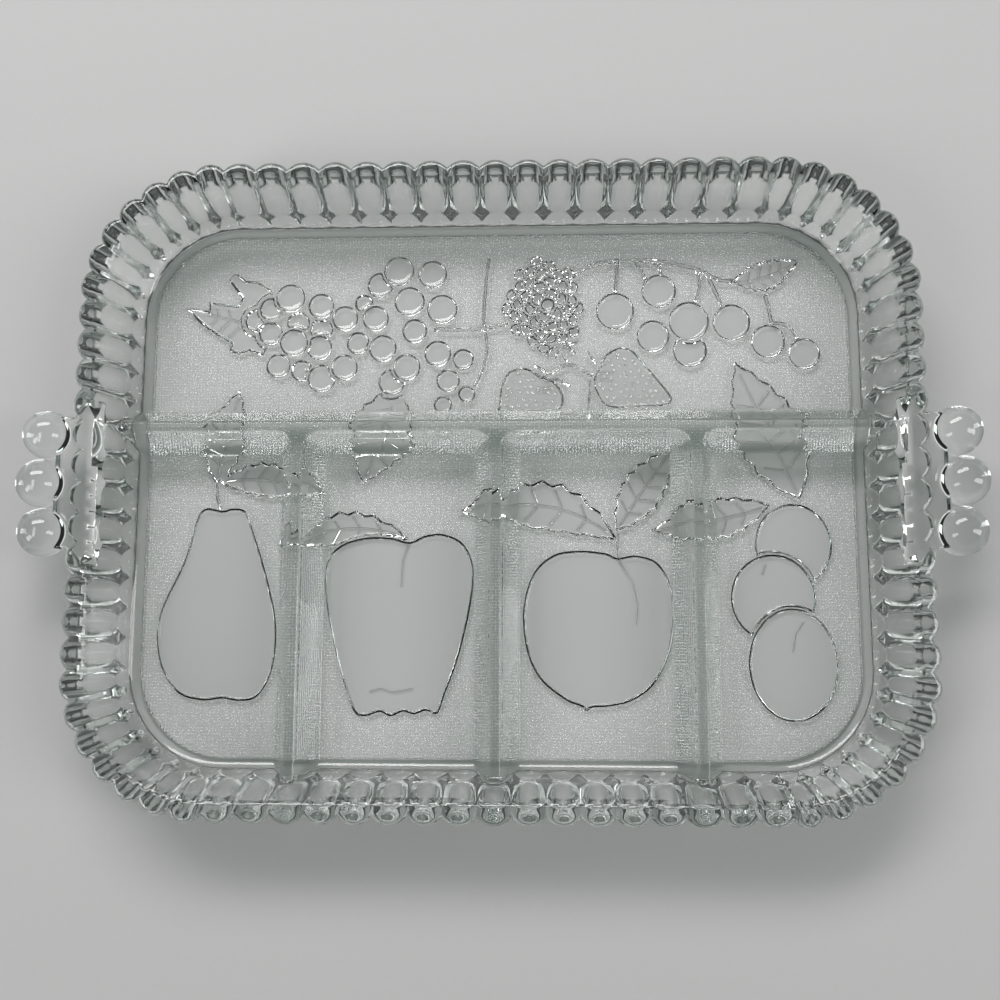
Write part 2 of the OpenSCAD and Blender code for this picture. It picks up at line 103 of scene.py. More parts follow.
def share(name, default, description):
    """A part of a whole, from 0 to 1."""
    return FloatProperty(name=name, default=default, description=description, subtype="FACTOR",
                         min=0, max=1)


def colour(name, default, description):
    """A colour that a user can change."""
    return FloatVectorProperty(name=name, default=default, description=description,
                               subtype="COLOR", size=3, min=0, max=1)


class TrayForm(bpy.types.PropertyGroup):
    """Sizes of the wall, the dividers and the handles."""

    wall_run: length("Wall run", 0.0193, "From the edge of the flat floor to the flutes at the rim")
    wall_lean: length("Wall lean", 0.010, "How far the wall's outside leans out from foot to rim")
    rim_t: length("Rim thickness", 0.0081, "From the flutes at the rim to its smooth inner edge")
    cove_r: length("Cove radius", 0.005, "Radius of the cove between the floor and the wall")
    rim_round: length("Rim rounding", 0.0020, "Rounding of the rim's edges")
    foot_w: length("Foot width", 0.0055, "Width of the ring that the tray stands on")
    foot_inset: length("Foot inset", 0.001, "From the edge of the flat floor out to the foot")
    flute_pitch: length("Flute pitch", 0.011, "Distance between flutes that each side comes nearest to")
    flute_depth: length("Flute depth", 0.0026, "Depth of the grooves between flutes")
    flute_start: length("Flute start", 0.001, "Height of the flutes' round ends above the table")
    flute_steps: IntProperty(name="Flute steps", default=8, min=4, description="Faces across a flute")
    divider_crest: length("Divider crest", 0.0035, "Width of the flat crest of a divider")
    divider_toe: length("Divider toe", 0.0006, "Rounding where a divider rises from the floor")
    crest_blend: length("Crest blend", 0.0011, "Height over which the edges of a crest are rounded")
    wall_blend: length("Wall blend", 0.004, "Height over which a divider's end runs into the wall")
    web_round: length("Web rounding", 0.0025, "Rounding of the edges of the web behind the balls")
    web_fillet: length("Web fillet", 0.006, "Radius of the hollow curve where web and wall meet")


class ReliefForm(bpy.types.PropertyGroup):
    """Sizes of the fruit relief under the floor."""

    shoulder: length("Shoulder", 0.00105, "Width of the sloping edge of a large fruit or a leaf")
    stem_edge: length("Stem edge", 0.0007, "Width of the sloping edge of a stem or a stroke")
    tooth_depth: length("Tooth depth", 0.0005, "How much deeper the notches of a leaf are pressed")
    stroke_w: length("Stroke width", 0.0015, "Greatest width of a sepal's stroke")
    bury: length("Bury", 0.001, "How far a form reaches up into the floor's glass")
    dome_share: share("Dome share", 0.06, "Rise of a flat form's face, as a part of its depth")
    dome_run: length("Dome run", 0.012, "Distance in from the outline over which the face rises")
    flank: length("Flank", 0.00075, "Greatest width of the sloping edge of a round fruit")
    flank_share: share("Flank share", 0.4, "Greatest part of a round fruit's radius that slopes")
    cap_share: share("Cap share", 0.34, "Rise of a round fruit's face, as a part of its depth")
    point_gap: length("Point gap", 0.0008, "Distance between points along an outline")
    face_gap: length("Face gap", 0.003, "Distance between points on a flat face")
    line_r: length("Line radius", 0.0003, "Radius of the veins and of the fine lines on the fruits")
    seed_r: length("Seed radius", 0.0006, "Radius of a strawberry's seeds")
    seed_pitch: length("Seed pitch", 0.0027, "Distance between a strawberry's seeds")


class GlassFinish(bpy.types.PropertyGroup):
    """Finish of the glass."""

    tint: colour("Tint", (0.985, 0.995, 0.99), "Colour of the glass where it is thin")
    depth_tint: colour("Depth tint", (0.55, 0.92, 0.74), "Colour of the glass where it is thick")
    absorption: FloatProperty(name="Absorption", default=2.0, min=0,
                              description="Strength of the depth tint per metre")
    shade: colour("Shade", (0.975, 0.98, 0.978), "Part of the light that a flat surface lets through")
    edge_shade: colour("Edge shade", (0.28, 0.32, 0.30),
                       "Part of the light that a steep surface lets through")
    frost_colour: colour("Frost colour", (0.92, 0.94, 0.93), "Colour of the underside's frosty dots")
    frost_share: share("Frost share", 0.4, "How frosty the middle of a dot is")
    ior: FloatProperty(name="IOR", default=1.52, min=1,
                       description="Index of refraction of soda-lime glass")
    roughness: share("Roughness", 0.015, "Roughness of the fire-polished surface")
    ripple_pitch: length("Ripple pitch", 0.018, "Distance between the slow ripples of the pressing")
    ripple_depth: length("Ripple depth", 0.00006, "Depth of the ripples")
    stipple_pitch: length("Stipple pitch", 0.00105, "Distance between the dots of the underside")
    stipple_depth: length("Stipple depth", 0.00016, "Height of the dots")
    stipple_scatter: share("Stipple scatter", 0.35, "How far the dots stray from even rows")


class StageSettings(bpy.types.PropertyGroup):
    """Floor, light and camera."""

    floor_colour: colour("Floor colour", (0.60, 0.60, 0.595), "Colour of the plain floor")
    floor_size: length("Floor size", 12.0, "Width of the floor")
    lit_near: length("Lit near", 0.5, "Distance to which the softboxes light the floor in full")
    lit_far: length("Lit far", 2.0, "Distance beyond which the softboxes no longer light the floor")
    far_share: share("Far share", 0.85, "Brightness of the far floor as a part of its colour")
    room_colour: colour("Room colour", (0.06, 0.062, 0.064), "Colour of the dim room overhead")
    horizon_colour: colour("Horizon colour", (0.9, 0.9, 0.9), "Colour of the pale backdrop")
    camera_place: FloatVectorProperty(
        name="Camera place", default=(0.01357, -0.04923, 0.36045), subtype="TRANSLATION",
        unit="LENGTH", description="Where the camera stands")
    camera_turn: FloatVectorProperty(
        name="Camera turn", default=[math.radians(a) for a in (7.233, 2.007, 0.107)],
        subtype="EULER", description="Turn of the camera from straight down")
    lens: FloatProperty(name="Lens", default=36.1, min=1, unit="CAMERA",
                        description="Focal length in millimetres")


def math_node(operation, turned=False):
    """A method that adds a Math node, with its values turned round where that is asked."""
    def method(self, *others):
        values = (*others, self) if turned else (self, *others)
        return self.graph.add("ShaderNodeMath", {"operation": operation}, dict(enumerate(values)))
    return method


class Value:
    """A socket of a node tree, on which Python's operators add Math nodes."""

    __add__, __radd__ = math_node("ADD"), math_node("ADD", True)
    __sub__, __rsub__ = math_node("SUBTRACT"), math_node("SUBTRACT", True)
    __mul__, __rmul__ = math_node("MULTIPLY"), math_node("MULTIPLY", True)
    __truediv__, __abs__ = math_node("DIVIDE"), math_node("ABSOLUTE")
    root, at_least = math_node("SQRT"), math_node("MAXIMUM")
    above, near = math_node("GREATER_THAN"), math_node("COMPARE")

    def __init__(self, graph, socket):
        self.graph, self.socket = graph, socket


class Graph:
    """A node tree that is built from Python."""

    def __init__(self, tree):
        self.tree = tree

    def add(self, kind, settings=None, inputs=None, output=0):
        """Adds a node, sets its settings and then its sockets, and gives one of its outputs."""
        node = self.tree.nodes.new(kind)
        for name, value in (settings or {}).items():
            setattr(node, name, value)
        for key, value in (inputs or {}).items():
            if isinstance(value, Value):
                self.tree.links.new(value.socket, node.inputs[key])
            else:
                node.inputs[key].default_value = value
        return Value(self, node.outputs[output])

    def end(self, kind, inputs):
        """Adds the node that the tree ends in."""
        node = self.tree.nodes.new(kind)
        for key, value in inputs.items():
            self.tree.links.new(value.socket, node.inputs[key])

    def axis(self, vector, name):
        """One of a vector's three numbers: X, Y or Z."""
        return self.add("ShaderNodeSeparateXYZ", {}, {"Vector": vector}, output=name)

    def fade(self, value, start, end):
        """A smooth step from 0 at the start to 1 at the end."""
        return self.add("ShaderNodeMapRange", {"interpolation_type": "SMOOTHSTEP"}, {
            "Value": value, "From Min": start, "From Max": end})

    def mix(self, factor, first, second):
        """Two shaders, mixed."""
        return self.add("ShaderNodeMixShader", {}, {0: factor, 1: first, 2: second})

    def ray(self, name):
        """What the Light Path node says about a ray."""
        return self.add("ShaderNodeLightPath", output=name)

    def seen(self):
        """1 for rays that show a surface to the camera, also in and through the glass."""
        camera, gloss, glass = (self.ray(f"Is {kind} Ray")
                                for kind in ("Camera", "Glossy", "Transmission"))
        return camera.at_least(gloss).at_least(glass)

    def attribute(self, name, kind="FLOAT"):
        """A named attribute of the geometry."""
        return self.add("GeometryNodeInputNamedAttribute", {"data_type": kind}, {"Name": name})

    def vector(self, operation, *values):
        """A Vector Math node."""
        key = {"SCALE": ("Vector", "Scale")}.get(operation, range(len(values)))
        return self.add("ShaderNodeVectorMath", {"operation": operation}, dict(zip(key, values)))


class GeometryTree(Graph):
    """A Geometry Nodes tree with named inputs."""

    def __init__(self, name, **inputs):
        super().__init__(bpy.data.node_groups.new(name, "GeometryNodeTree"))
        face = self.tree.interface
        for way in ("INPUT", "OUTPUT"):
            face.new_socket("Geometry", in_out=way, socket_type="NodeSocketGeometry")
        for title, kind in inputs.items():
            face.new_socket(title, in_out="INPUT", socket_type="NodeSocket" + kind)
        self.group = self.tree.nodes.new("NodeGroupInput")

    def input(self, name):
        """One of the tree's named inputs."""
        return Value(self, self.group.outputs[name])

    def close(self, geometry):
        """Ends the tree: instances are made real and the glass is set."""
        real = self.add("GeometryNodeRealizeInstances", {}, {"Geometry": geometry})
        glass = self.add("GeometryNodeSetMaterial", {}, {
            "Geometry": real, "Material": self.input("Glass")})
        self.end("NodeGroupOutput", {0: glass})

    def run(self, start, **values):
        """The plain mesh that the tree makes of a starting mesh."""
        obj = add_object("start", start)
        modifier = obj.modifiers.new("tree", "NODES")
        modifier.node_group = self.tree
        sockets = {item.name: item.identifier for item in self.tree.interface.items_tree
                   if item.in_out == "INPUT"}
        for title, value in values.items():
            modifier[sockets[title]] = value
        return baked(obj)


def add_object(name, data):
    """A new object in the scene."""
    obj = bpy.data.objects.new(name, data)
    bpy.context.scene.collection.objects.link(obj)
    return obj


def baked(obj):
    """The object's mesh with its modifiers in it. The object goes away."""
    evaluated = obj.evaluated_get(bpy.context.evaluated_depsgraph_get())
    mesh = bpy.data.meshes.new_from_object(evaluated)
    bpy.data.objects.remove(obj)
    return mesh


def mesh_of(name, points, faces=(), edges=(), **attributes):
    """A mesh from points, faces and edges, with point attributes of one or three numbers."""
    mesh = bpy.data.meshes.new(name)
    mesh.from_pydata([tuple(map(float, p)) for p in points], list(edges), list(faces))
    for title, values in attributes.items():
        values = np.asarray(values, np.float32)
        kind, field = ("FLOAT", "value") if values.ndim == 1 else ("FLOAT_VECTOR", "vector")
        mesh.attributes.new(title, kind, "POINT").data.foreach_set(field, values.ravel())
    return mesh


def tidy(mesh):
    """Merges doubles and turns all faces outwards."""
    shape = bmesh.new()
    shape.from_mesh(mesh)
    bmesh.ops.remove_doubles(shape, verts=shape.verts, dist=WELD)
    bmesh.ops.recalc_face_normals(shape, faces=shape.faces)
    shape.to_mesh(mesh)
    shape.free()
    return mesh


def glazed(mesh):
    """A mesh with the tray's glass on it."""
    mesh.materials.append(clear_glass())
    return mesh


def put_away(name, mesh):
    """Keeps a finished form until the pressing joins it."""
    forms = bpy.data.collections.get("tray_forms")
    if forms is None:
        forms = bpy.data.collections.new("tray_forms")
        bpy.context.scene.collection.children.link(forms)
    forms.objects.link(bpy.data.objects.new(name, mesh))


def put_solids(name, solids):
    """Keeps closed solids, each given as points and faces, as one form of glass."""
    points, faces = [], []
    for p, f in solids:
        faces += [tuple(int(i) + len(points) for i in face) for face in f]
        points += list(p)
    put_away(name, glazed(tidy(mesh_of(name, points, faces))))


# Glass: how sharply a dot falls off, its frost, and the change of the polish along the ripples
DOT_FALL = 2.4
DOT_LAYER_SHARE = 1 / 8
FROST_ROUGHNESS, FROST_CLEARNESS = 0.5, 0.3
POLISH_LEAST, POLISH_CHANGE = 0.6, 0.8

# Upright part of a surface's normal where the glass shades as a flat surface, and as a steep one
FLAT_NORMAL, STEEP_NORMAL = 0.95, 0.4

# Reflections after which a ray counts as trapped in a handle
TRAPPED_DEPTH = 1.5


def clear_glass():
    """The tray's glass, made when it is first asked for."""
    return bpy.data.materials.get("pressed_glass") or make_glass(bpy.context.scene.tray_glass)


def make_glass(finish):
    """Clear pressed glass with slow ripples, and rows of frosty dots on the floor's underside."""
    material = bpy.data.materials.new("pressed_glass")
    material.use_nodes = True
    material.node_tree.nodes.clear()
    graph = Graph(material.node_tree)
    place = graph.add("ShaderNodeTexCoord", output="Object")
    x, y, z = (graph.axis(place, name) for name in "XYZ")
    under = z.near(FOOT_H, finish.stipple_depth * DOT_LAYER_SHARE)
    ripple = graph.add("ShaderNodeTexNoise", {}, {
        "Vector": place, "Scale": 1 / finish.ripple_pitch, "Detail": 1.0})
    dots = graph.add("ShaderNodeTexVoronoi", {"voronoi_dimensions": "2D"}, {
        "Vector": place, "Scale": 1 / finish.stipple_pitch, "Randomness": finish.stipple_scatter})
    dome = (1 - dots * dots * DOT_FALL).at_least(0.0) * under
    bump = graph.add("ShaderNodeBump", {}, {
        "Height": ripple * finish.ripple_depth + dome * finish.stipple_depth,
        "Strength": 1.0, "Distance": 1.0})

    def glass(tone, roughness, clearness):
        return graph.add("ShaderNodeBsdfPrincipled", {}, {
            "Base Color": (*tone, 1), "Roughness": roughness, "IOR": finish.ior,
            "Transmission Weight": clearness, "Normal": bump})

    clear = glass(finish.tint, finish.roughness * (POLISH_LEAST + POLISH_CHANGE * ripple), 1.0)
    frost = glass(finish.frost_colour, FROST_ROUGHNESS, FROST_CLEARNESS)
    surface = graph.mix(dome * dome * finish.frost_share, clear, frost)
    upright = graph.axis(graph.add("ShaderNodeNewGeometry", output="Normal"), "Z")
    flat, edge = (graph.add("ShaderNodeBsdfTransparent", {}, {"Color": (*tone, 1)})
                  for tone in (finish.shade, finish.edge_shade))
    lamps = graph.mix(graph.fade(abs(upright), FLAT_NORMAL, STEEP_NORMAL), flat, edge)
    in_handle = abs(x).above(HALF_W) * (1 - abs(y).above(HANDLE_Y))
    trapped = graph.ray("Glossy Depth").above(TRAPPED_DEPTH) * in_handle
    lit = graph.ray("Is Shadow Ray").at_least(graph.ray("Is Diffuse Ray"))
    depth = graph.add("ShaderNodeVolumeAbsorption", {}, {
        "Color": (*finish.depth_tint, 1), "Density": finish.absorption})
    graph.end("ShaderNodeOutputMaterial", {
        "Surface": graph.mix(lit.at_least(trapped), surface, lamps), "Volume": depth})
    return material


def smooth_max(a, b, blend):
    """The larger of two heights, with the crease between them rounded over a height of blend."""
    near = np.maximum(blend - np.abs(a - b), 0) / np.maximum(blend, WELD)
    return np.maximum(a, b) + near * near * blend / 4


class Section:
    """The wall's section: u runs out from the edge of the flat floor, z up from the table."""

    # Rows of the inside's cove, wall and rounded edge, and of the outside's edge, flutes and ends
    COVE_ROWS, WALL_ROWS, EDGE_ROWS = 8, 7, 6
    ROUND_ROWS, FLUTE_ROWS, END_ROWS = 7, 6, 11

    # Share of the flutes' form in rows across the rim's flat top, from its inner edge out
    RIM_SHARES = (0, 0.12, 0.4, 0.7, 0.92, 1)

    # How far the backing lies behind the flutes, in grooves' depths, and the foot's middle bevel
    BACKING_SHARE = 1.6
    BEVEL_SHARE = 0.3

    def __init__(self, form):
        self.form = form
        self.lean = math.atan2(form.wall_lean, RIM_H - FOOT_H)
        self.rim_in = form.wall_run - form.rim_t
        self.cove_z = FLOOR_TOP + form.cove_r
        rise = RIM_H - self.cove_z
        self.slope = (math.acos(form.cove_r / math.hypot(self.rim_in, rise))
                      - math.atan2(rise, self.rim_in))
        self.cove_end = form.cove_r * math.cos(self.slope)
        self.round_z = RIM_H - form.rim_round
        self.flat_in = self.inner_u(self.round_z) + form.rim_round / math.cos(self.slope)
        self.round_start = self.flat_in - form.rim_round * math.cos(self.slope)
        half, depth = form.flute_pitch / 2, form.flute_depth
        self.flute_r = (half ** 2 + depth ** 2) / (2 * depth)
        self.flute_end = form.flute_start + self.flute_r
        self.foot_out = form.foot_inset + form.foot_w

    def outer_u(self, z):
        """The flutes' tops."""
        return self.form.wall_run - (RIM_H - z) * math.tan(self.lean)

    def inner_u(self, z):
        """The smooth inside of the wall, above the cove."""
        return self.rim_in - (RIM_H - z) * math.tan(self.slope)

    def inner_z(self, u):
        """Height of the floor, the cove, the wall and the rim's inner edge."""
        form = self.form
        cove = self.cove_z - np.sqrt(np.maximum(form.cove_r ** 2 - np.clip(u, 0, None) ** 2, 0))
        wall = RIM_H - (self.rim_in - u) / math.tan(self.slope)
        rim = self.round_z + np.sqrt(np.maximum(form.rim_round ** 2 - (self.flat_in - u) ** 2, 0))
        return np.where(u <= 0, FLOOR_TOP, np.where(u < self.cove_end, cove, np.where(
            u < self.round_start, wall, np.where(u < self.flat_in, rim, RIM_H))))

    def inner_levels(self):
        """Distances out at which the inside is sampled, from the floor up to the rim's flat top."""
        form, quarter = self.form, math.pi / 2
        cove = [form.cove_r * math.sin(a)
                for a in np.linspace(0, quarter - self.slope, self.COVE_ROWS)]
        wall = list(np.linspace(self.cove_end, self.round_start, self.WALL_ROWS)[1:])
        rim = [self.flat_in - form.rim_round * math.cos(a)
               for a in np.linspace(self.slope, quarter, self.EDGE_ROWS)[1:-1]]
        return cove + wall + rim

    def backing(self, z):
        """What the grooves and the flutes' round ends stand on."""
        top = self.outer_u(RIM_H) - self.BACKING_SHARE * self.form.flute_depth
        return self.foot_out + max(z - FOOT_H, 0) / (RIM_H - FOOT_H) * (top - self.foot_out)

    def outside(self):
        """Rows of reach, height, share of the flutes and backing, from the rim's top to the floor."""
        form, quarter = self.form, math.pi / 2
        r, inset, out = form.rim_round, form.foot_inset, self.foot_out
        centre = self.outer_u(RIM_H - r) - r / math.cos(self.lean)
        top = np.linspace(self.flat_in, centre, len(self.RIM_SHARES))
        rows = [(u, RIM_H, part, 0) for u, part in zip(top, self.RIM_SHARES)]
        for a in np.linspace(quarter, -self.lean, self.ROUND_ROWS)[1:]:
            rows.append((centre + r * math.cos(a), RIM_H - r + r * math.sin(a), 1, 0))
        for z in np.linspace(rows[-1][1], self.flute_end, self.FLUTE_ROWS)[1:]:
            rows.append((self.outer_u(z), z, 1, self.backing(z)))
        drop = np.sin(np.linspace(0, quarter, self.END_ROWS)[1:])
        for z in self.flute_end + (form.flute_start - self.flute_end) * drop:
            rows.append((self.outer_u(self.flute_end), z, 1, self.backing(z)))
        edge = inset / 2
        bevel = edge * self.BEVEL_SHARE
        foot = [(out, edge), (out - bevel, bevel), (out - edge, 0), (inset + edge, 0),
                (inset + bevel, bevel), (inset, edge), (inset, FOOT_H)]
        return np.array(rows + [(u, z, 0, u) for u, z in foot])


def floor_edge(form):
    """Points round the flat floor's edge, the way out at each, and its place across its flute."""
    steps = form.flute_steps
    points, outward, phase = [], [], []
    for quarter in range(4):
        turn = math.radians(90 * quarter)
        cos, sin = math.cos(turn), math.sin(turn)
        reach, half = ((HALF_W, CORNER_Y), (HALF_D, CORNER_X))[quarter % 2]
        side = np.arange(round(2 * half / form.flute_pitch) * steps)
        along = -half + 2 * half * side / len(side)
        corner_run = (CORNER_R + form.wall_run) * math.pi / 2
        arc = np.arange(round(corner_run / form.flute_pitch) * steps)
        angle = math.pi / 2 * arc / len(arc)
        local = [((reach, y), (1, 0)) for y in along]
        local += [((reach - CORNER_R + CORNER_R * math.cos(a), half + CORNER_R * math.sin(a)),
                   (math.cos(a), math.sin(a))) for a in angle]
        for (x, y), (ox, oy) in local:
            points.append((x * cos - y * sin, x * sin + y * cos, 0))
            outward.append((ox * cos - oy * sin, ox * sin + oy * cos, 0))
        phase += [k % steps / steps for k in range(len(local))]
    return np.array(points), np.array(outward), np.array(phase)


def fluted_tree():
    """Sweeps the wall's section round the floor's edge and presses the flutes into it."""
    tree = GeometryTree("fluted_wall", Section="Object", FlutePitch="Float", FluteRadius="Float",
                        FluteEnd="Float", Blend="Float", Glass="Material")
    path = tree.add("GeometryNodeMeshToCurve", {}, {"Mesh": tree.input("Geometry")})
    section = tree.add("GeometryNodeObjectInfo", {}, {"Object": tree.input("Section")},
                       output="Geometry")
    profile = tree.add("GeometryNodeMeshToCurve", {}, {"Mesh": section})
    swept = tree.add("GeometryNodeCurveToMesh", {}, {"Curve": path, "Profile Curve": profile})
    across = abs(tree.attribute("flute_phase") - 0.5) * tree.input("FlutePitch")
    height = tree.attribute("height")
    below = (tree.input("FluteEnd") - height).at_least(0.0)
    r = tree.input("FluteRadius")
    bulge = (r * r - across * across - below * below).at_least(0.0).root()
    flute = tree.attribute("reach") - tree.attribute("flute_share") * (r - bulge)
    backing = tree.attribute("backing")
    blend = tree.input("Blend")
    near = (blend - abs(flute - backing)).at_least(0.0) * tree.attribute("flute_share") / blend
    reach = flute.at_least(backing) + near * near * blend / 4
    out = tree.vector("SCALE", tree.attribute("outward", "FLOAT_VECTOR"), reach)
    up = tree.add("ShaderNodeCombineXYZ", {}, {"Z": height})
    edge = tree.attribute("edge", "FLOAT_VECTOR")
    place = tree.vector("ADD", tree.vector("ADD", edge, out), up)
    tree.close(tree.add("GeometryNodeSetPosition", {}, {"Geometry": swept, "Position": place}))
    return tree


def ring_edges(count):
    """Pairs of neighbours round a ring."""
    return [(i, (i + 1) % count) for i in range(count)]


def fluted_outside(form, section):
    """The outside of the tray, from the rim's flat top over the flutes to the floor's underside."""
    points, outward, phase = floor_edge(form)
    path = mesh_of("path", points, edges=ring_edges(len(points)), edge=points, outward=outward,
                   flute_phase=phase)
    rows = section.outside()
    reach, height, flute_share, backing = rows.T
    profile = mesh_of("section", [(u, z, 0) for u, z, _, _ in rows],
                      edges=[(i, i + 1) for i in range(len(rows) - 1)],
                      reach=reach, height=height, flute_share=flute_share, backing=backing)
    holder = add_object("section", profile)
    groove_blend = form.flute_depth / 6
    mesh = fluted_tree().run(path, Section=holder, FlutePitch=form.flute_pitch,
                             FluteRadius=section.flute_r, FluteEnd=section.flute_end,
                             Blend=groove_blend, Glass=clear_glass())
    bpy.data.objects.remove(holder)
    return mesh, len(rows)


def compartment_distance(x, y):
    """Distance to the nearest compartment's flat floor, ignoring the outer walls."""
    far = np.inf
    edges = [-far] + [v for low, high in SHORT_BOXES for v in (low.x, high.x)] + [far]
    nearest = np.maximum(LONG_HIGH.y - y, 0)
    for left, right in zip(edges[::2], edges[1::2]):
        dx = np.maximum(np.maximum(left - x, x - right), 0)
        nearest = np.minimum(nearest, np.hypot(dx, np.maximum(y - LONG_LOW.y, 0)))
    return nearest


def floor_edge_distance(x, y):
    """Distance out from the edge of the flat floor, negative inside it."""
    qx, qy = np.abs(x) - CORNER_X, np.abs(y) - CORNER_Y
    return np.where((qx > 0) & (qy > 0), np.hypot(qx, qy), np.maximum(qx, qy)) - CORNER_R


def inside_height(form, section, x, y):
    """Height of the tray's inside: the floor, the dividers and the wall, blended where they meet."""
    rise = LONG_HIGH.z - FLOOR_TOP
    run = (LONG_HIGH.y - LONG_LOW.y - form.divider_crest) / 2
    toe = form.divider_toe
    away = compartment_distance(x, y)
    climb = rise * (np.hypot(away, toe) - toe) / (math.hypot(run, toe) - toe)
    divider = FLOOR_TOP - smooth_max(-climb, np.full_like(climb, -rise), form.crest_blend)
    divider = np.where(away > 0, np.maximum(divider, FLOOR_TOP), FLOOR_TOP)
    wall = section.inner_z(floor_edge_distance(x, y))
    blend = np.minimum(form.wall_blend, np.minimum(wall, divider) - FLOOR_TOP)
    return np.minimum(smooth_max(wall, divider, blend), RIM_H)


# Step over which the inside's slope is taken, and the least upright part of its faces' normals
SLOPE_STEP = 0.02 * MM
UPWARD = 0.05


def inside_normals(form, section, mesh):
    """A normal for each face corner: the true one on the tray's inside, and nothing elsewhere."""
    count = len(mesh.vertices)
    places = np.empty(count * 3, np.float32)
    mesh.vertices.foreach_get("co", places)
    x, y, _ = places.reshape(-1, 3).astype(float).T
    step = SLOPE_STEP
    slope_x, slope_y = ((inside_height(form, section, x + dx, y + dy)
                         - inside_height(form, section, x - dx, y - dy)) / (2 * step)
                        for dx, dy in ((step, 0), (0, step)))
    normals = np.column_stack([-slope_x, -slope_y, np.ones(count)])
    normals /= np.linalg.norm(normals, axis=1)[:, None]
    corners = np.zeros((len(mesh.loops), 3))
    for face in mesh.polygons:
        px, py, pz = face.center
        within = floor_edge_distance(px, py) < section.flat_in
        if face.normal.z > UPWARD and pz > FLOOR_TOP - WELD and within:
            for loop in face.loop_indices:
                corners[loop] = normals[mesh.loops[loop].vertex_index]
    return corners


# Rows across a divider, as shares of its crest's blend, its half width and its toe
CREST_SHARES = np.linspace(-0.6, 0.6, 7)
FLANK_SHARES = np.array([0.42, 0.57])
TOE_SHARES = np.array([4, 2, 1, 0.4, 0])
BESIDE_SHARES = np.array([1.06, 1.3])

# Half widths from a divider's middle within which the wall has no rows of its own
CLEAR_SHARE = 1.45

# Rows across the long divider, out from the tray's middle and out from a short divider's middle
OUTER_ROWS = np.array([0.083, 0.096, 0.112])
BETWEEN_ROWS = (0.022, 0.035, 0.048)

# Rows across the short dividers: how far they stay from the wall and the long divider, and how many
WALL_MARGIN, LONG_MARGIN, SHORT_ROWS = 0.006, 0.008, 9

# Points of the floor's edge from one row up the wall to the next
WALL_STRIDE = 4


def inside_points(form, section):
    """Places at which the inside is sampled: up the wall, and across the dividers and their ends."""
    levels = section.inner_levels()
    half = (LONG_HIGH.y - LONG_LOW.y) / 2
    edge = form.divider_crest / 2 + form.crest_blend * CREST_SHARES
    toe = half - form.divider_toe * TOE_SHARES
    offsets = np.concatenate([[0], edge, half * FLANK_SHARES, toe, half * BESIDE_SHARES])
    offsets = np.concatenate([-offsets[:0:-1], offsets])
    long_y = (LONG_HIGH.y + LONG_LOW.y) / 2
    middles = [(low.x + high.x) / 2 for low, high in SHORT_BOXES]
    beyond = np.array(levels)
    between = [m + s for m in middles[:-1] for s in BETWEEN_ROWS]
    xs = np.concatenate([-HALF_W - beyond, -OUTER_ROWS[::-1], *(m + offsets for m in middles),
                         between, OUTER_ROWS, HALF_W + beyond])
    grid = [(x, y) for x in xs for y in long_y + offsets]
    ys = np.concatenate([-HALF_D - beyond, np.linspace(
        -HALF_D + WALL_MARGIN, LONG_LOW.y - LONG_MARGIN, SHORT_ROWS)])
    grid += [(m + o, y) for m in middles for o in offsets for y in ys]
    points, outward, _ = floor_edge(form)
    clear = half * CLEAR_SHARE
    for p, o in zip(points[::WALL_STRIDE], outward[::WALL_STRIDE]):
        at_end = abs(o[0]) > 0.5
        near_short = p[1] < 0 and any(abs(p[0] - m) < clear for m in middles) and not at_end
        near_long = abs(p[1] - long_y) < clear and at_end
        if not (near_short or near_long):
            grid += [(p[0] + o[0] * u, p[1] + o[1] * u) for u in levels]
    return np.array(grid)


# What the triangulation keeps, and how close two of its points may lie, in millimetres
INSIDE_ONLY = 1
TRAY_EPSILON, RELIEF_EPSILON = 1e-4, 1e-5


def triangulated(places, rim_count, epsilon):
    """Triangles between places in the plane, inside the closed line that the first ones make."""
    points, _, faces, origins, *_ = delaunay_2d_cdt(
        [tuple(p) for p in places / MM], ring_edges(rim_count), [], INSIDE_ONLY, epsilon)
    return np.array([(p.x, p.y) for p in points]) * MM, list(faces), origins


def inside_faces(form, section, rim):
    """Triangles of the inside of the tray, within the inner edge of the rim's flat top."""
    places = np.concatenate([rim[:, :2], inside_points(form, section)])
    flat, faces, _ = triangulated(places, len(rim), TRAY_EPSILON)
    heights = inside_height(form, section, flat[:, 0], flat[:, 1])
    return np.column_stack([flat, heights]), faces


def closed_rim(points, faces, rim, top):
    """Closes a sheet upwards: walls stand on its rim, and a flat face lies on them."""
    upper = len(points) + np.arange(len(rim))
    lifted = np.array(points)[rim]
    lifted[:, 2] = top
    walls = [(rim[i], rim[k], upper[k], upper[i]) for i, k in ring_edges(len(rim))]
    return np.concatenate([points, lifted]), faces + walls + [tuple(upper)]


def cad_islands(node):
    """The separate solids of a CAD node, each as a set of corners in a merged copy of its mesh."""
    shape = bmesh.new()
    shape.from_mesh(frame["nodes"][node].data)
    bmesh.ops.remove_doubles(shape, verts=shape.verts, dist=WELD)
    left, islands = set(shape.verts), []
    while left:
        island, edge = set(), {left.pop()}
        while edge:
            island |= edge
            edge = {e.other_vert(v) for v in edge for e in v.link_edges} - island
        left -= island
        islands.append(island)
    islands.sort(key=lambda island: tuple(min(v.co[:] for v in island)))
    return shape, islands


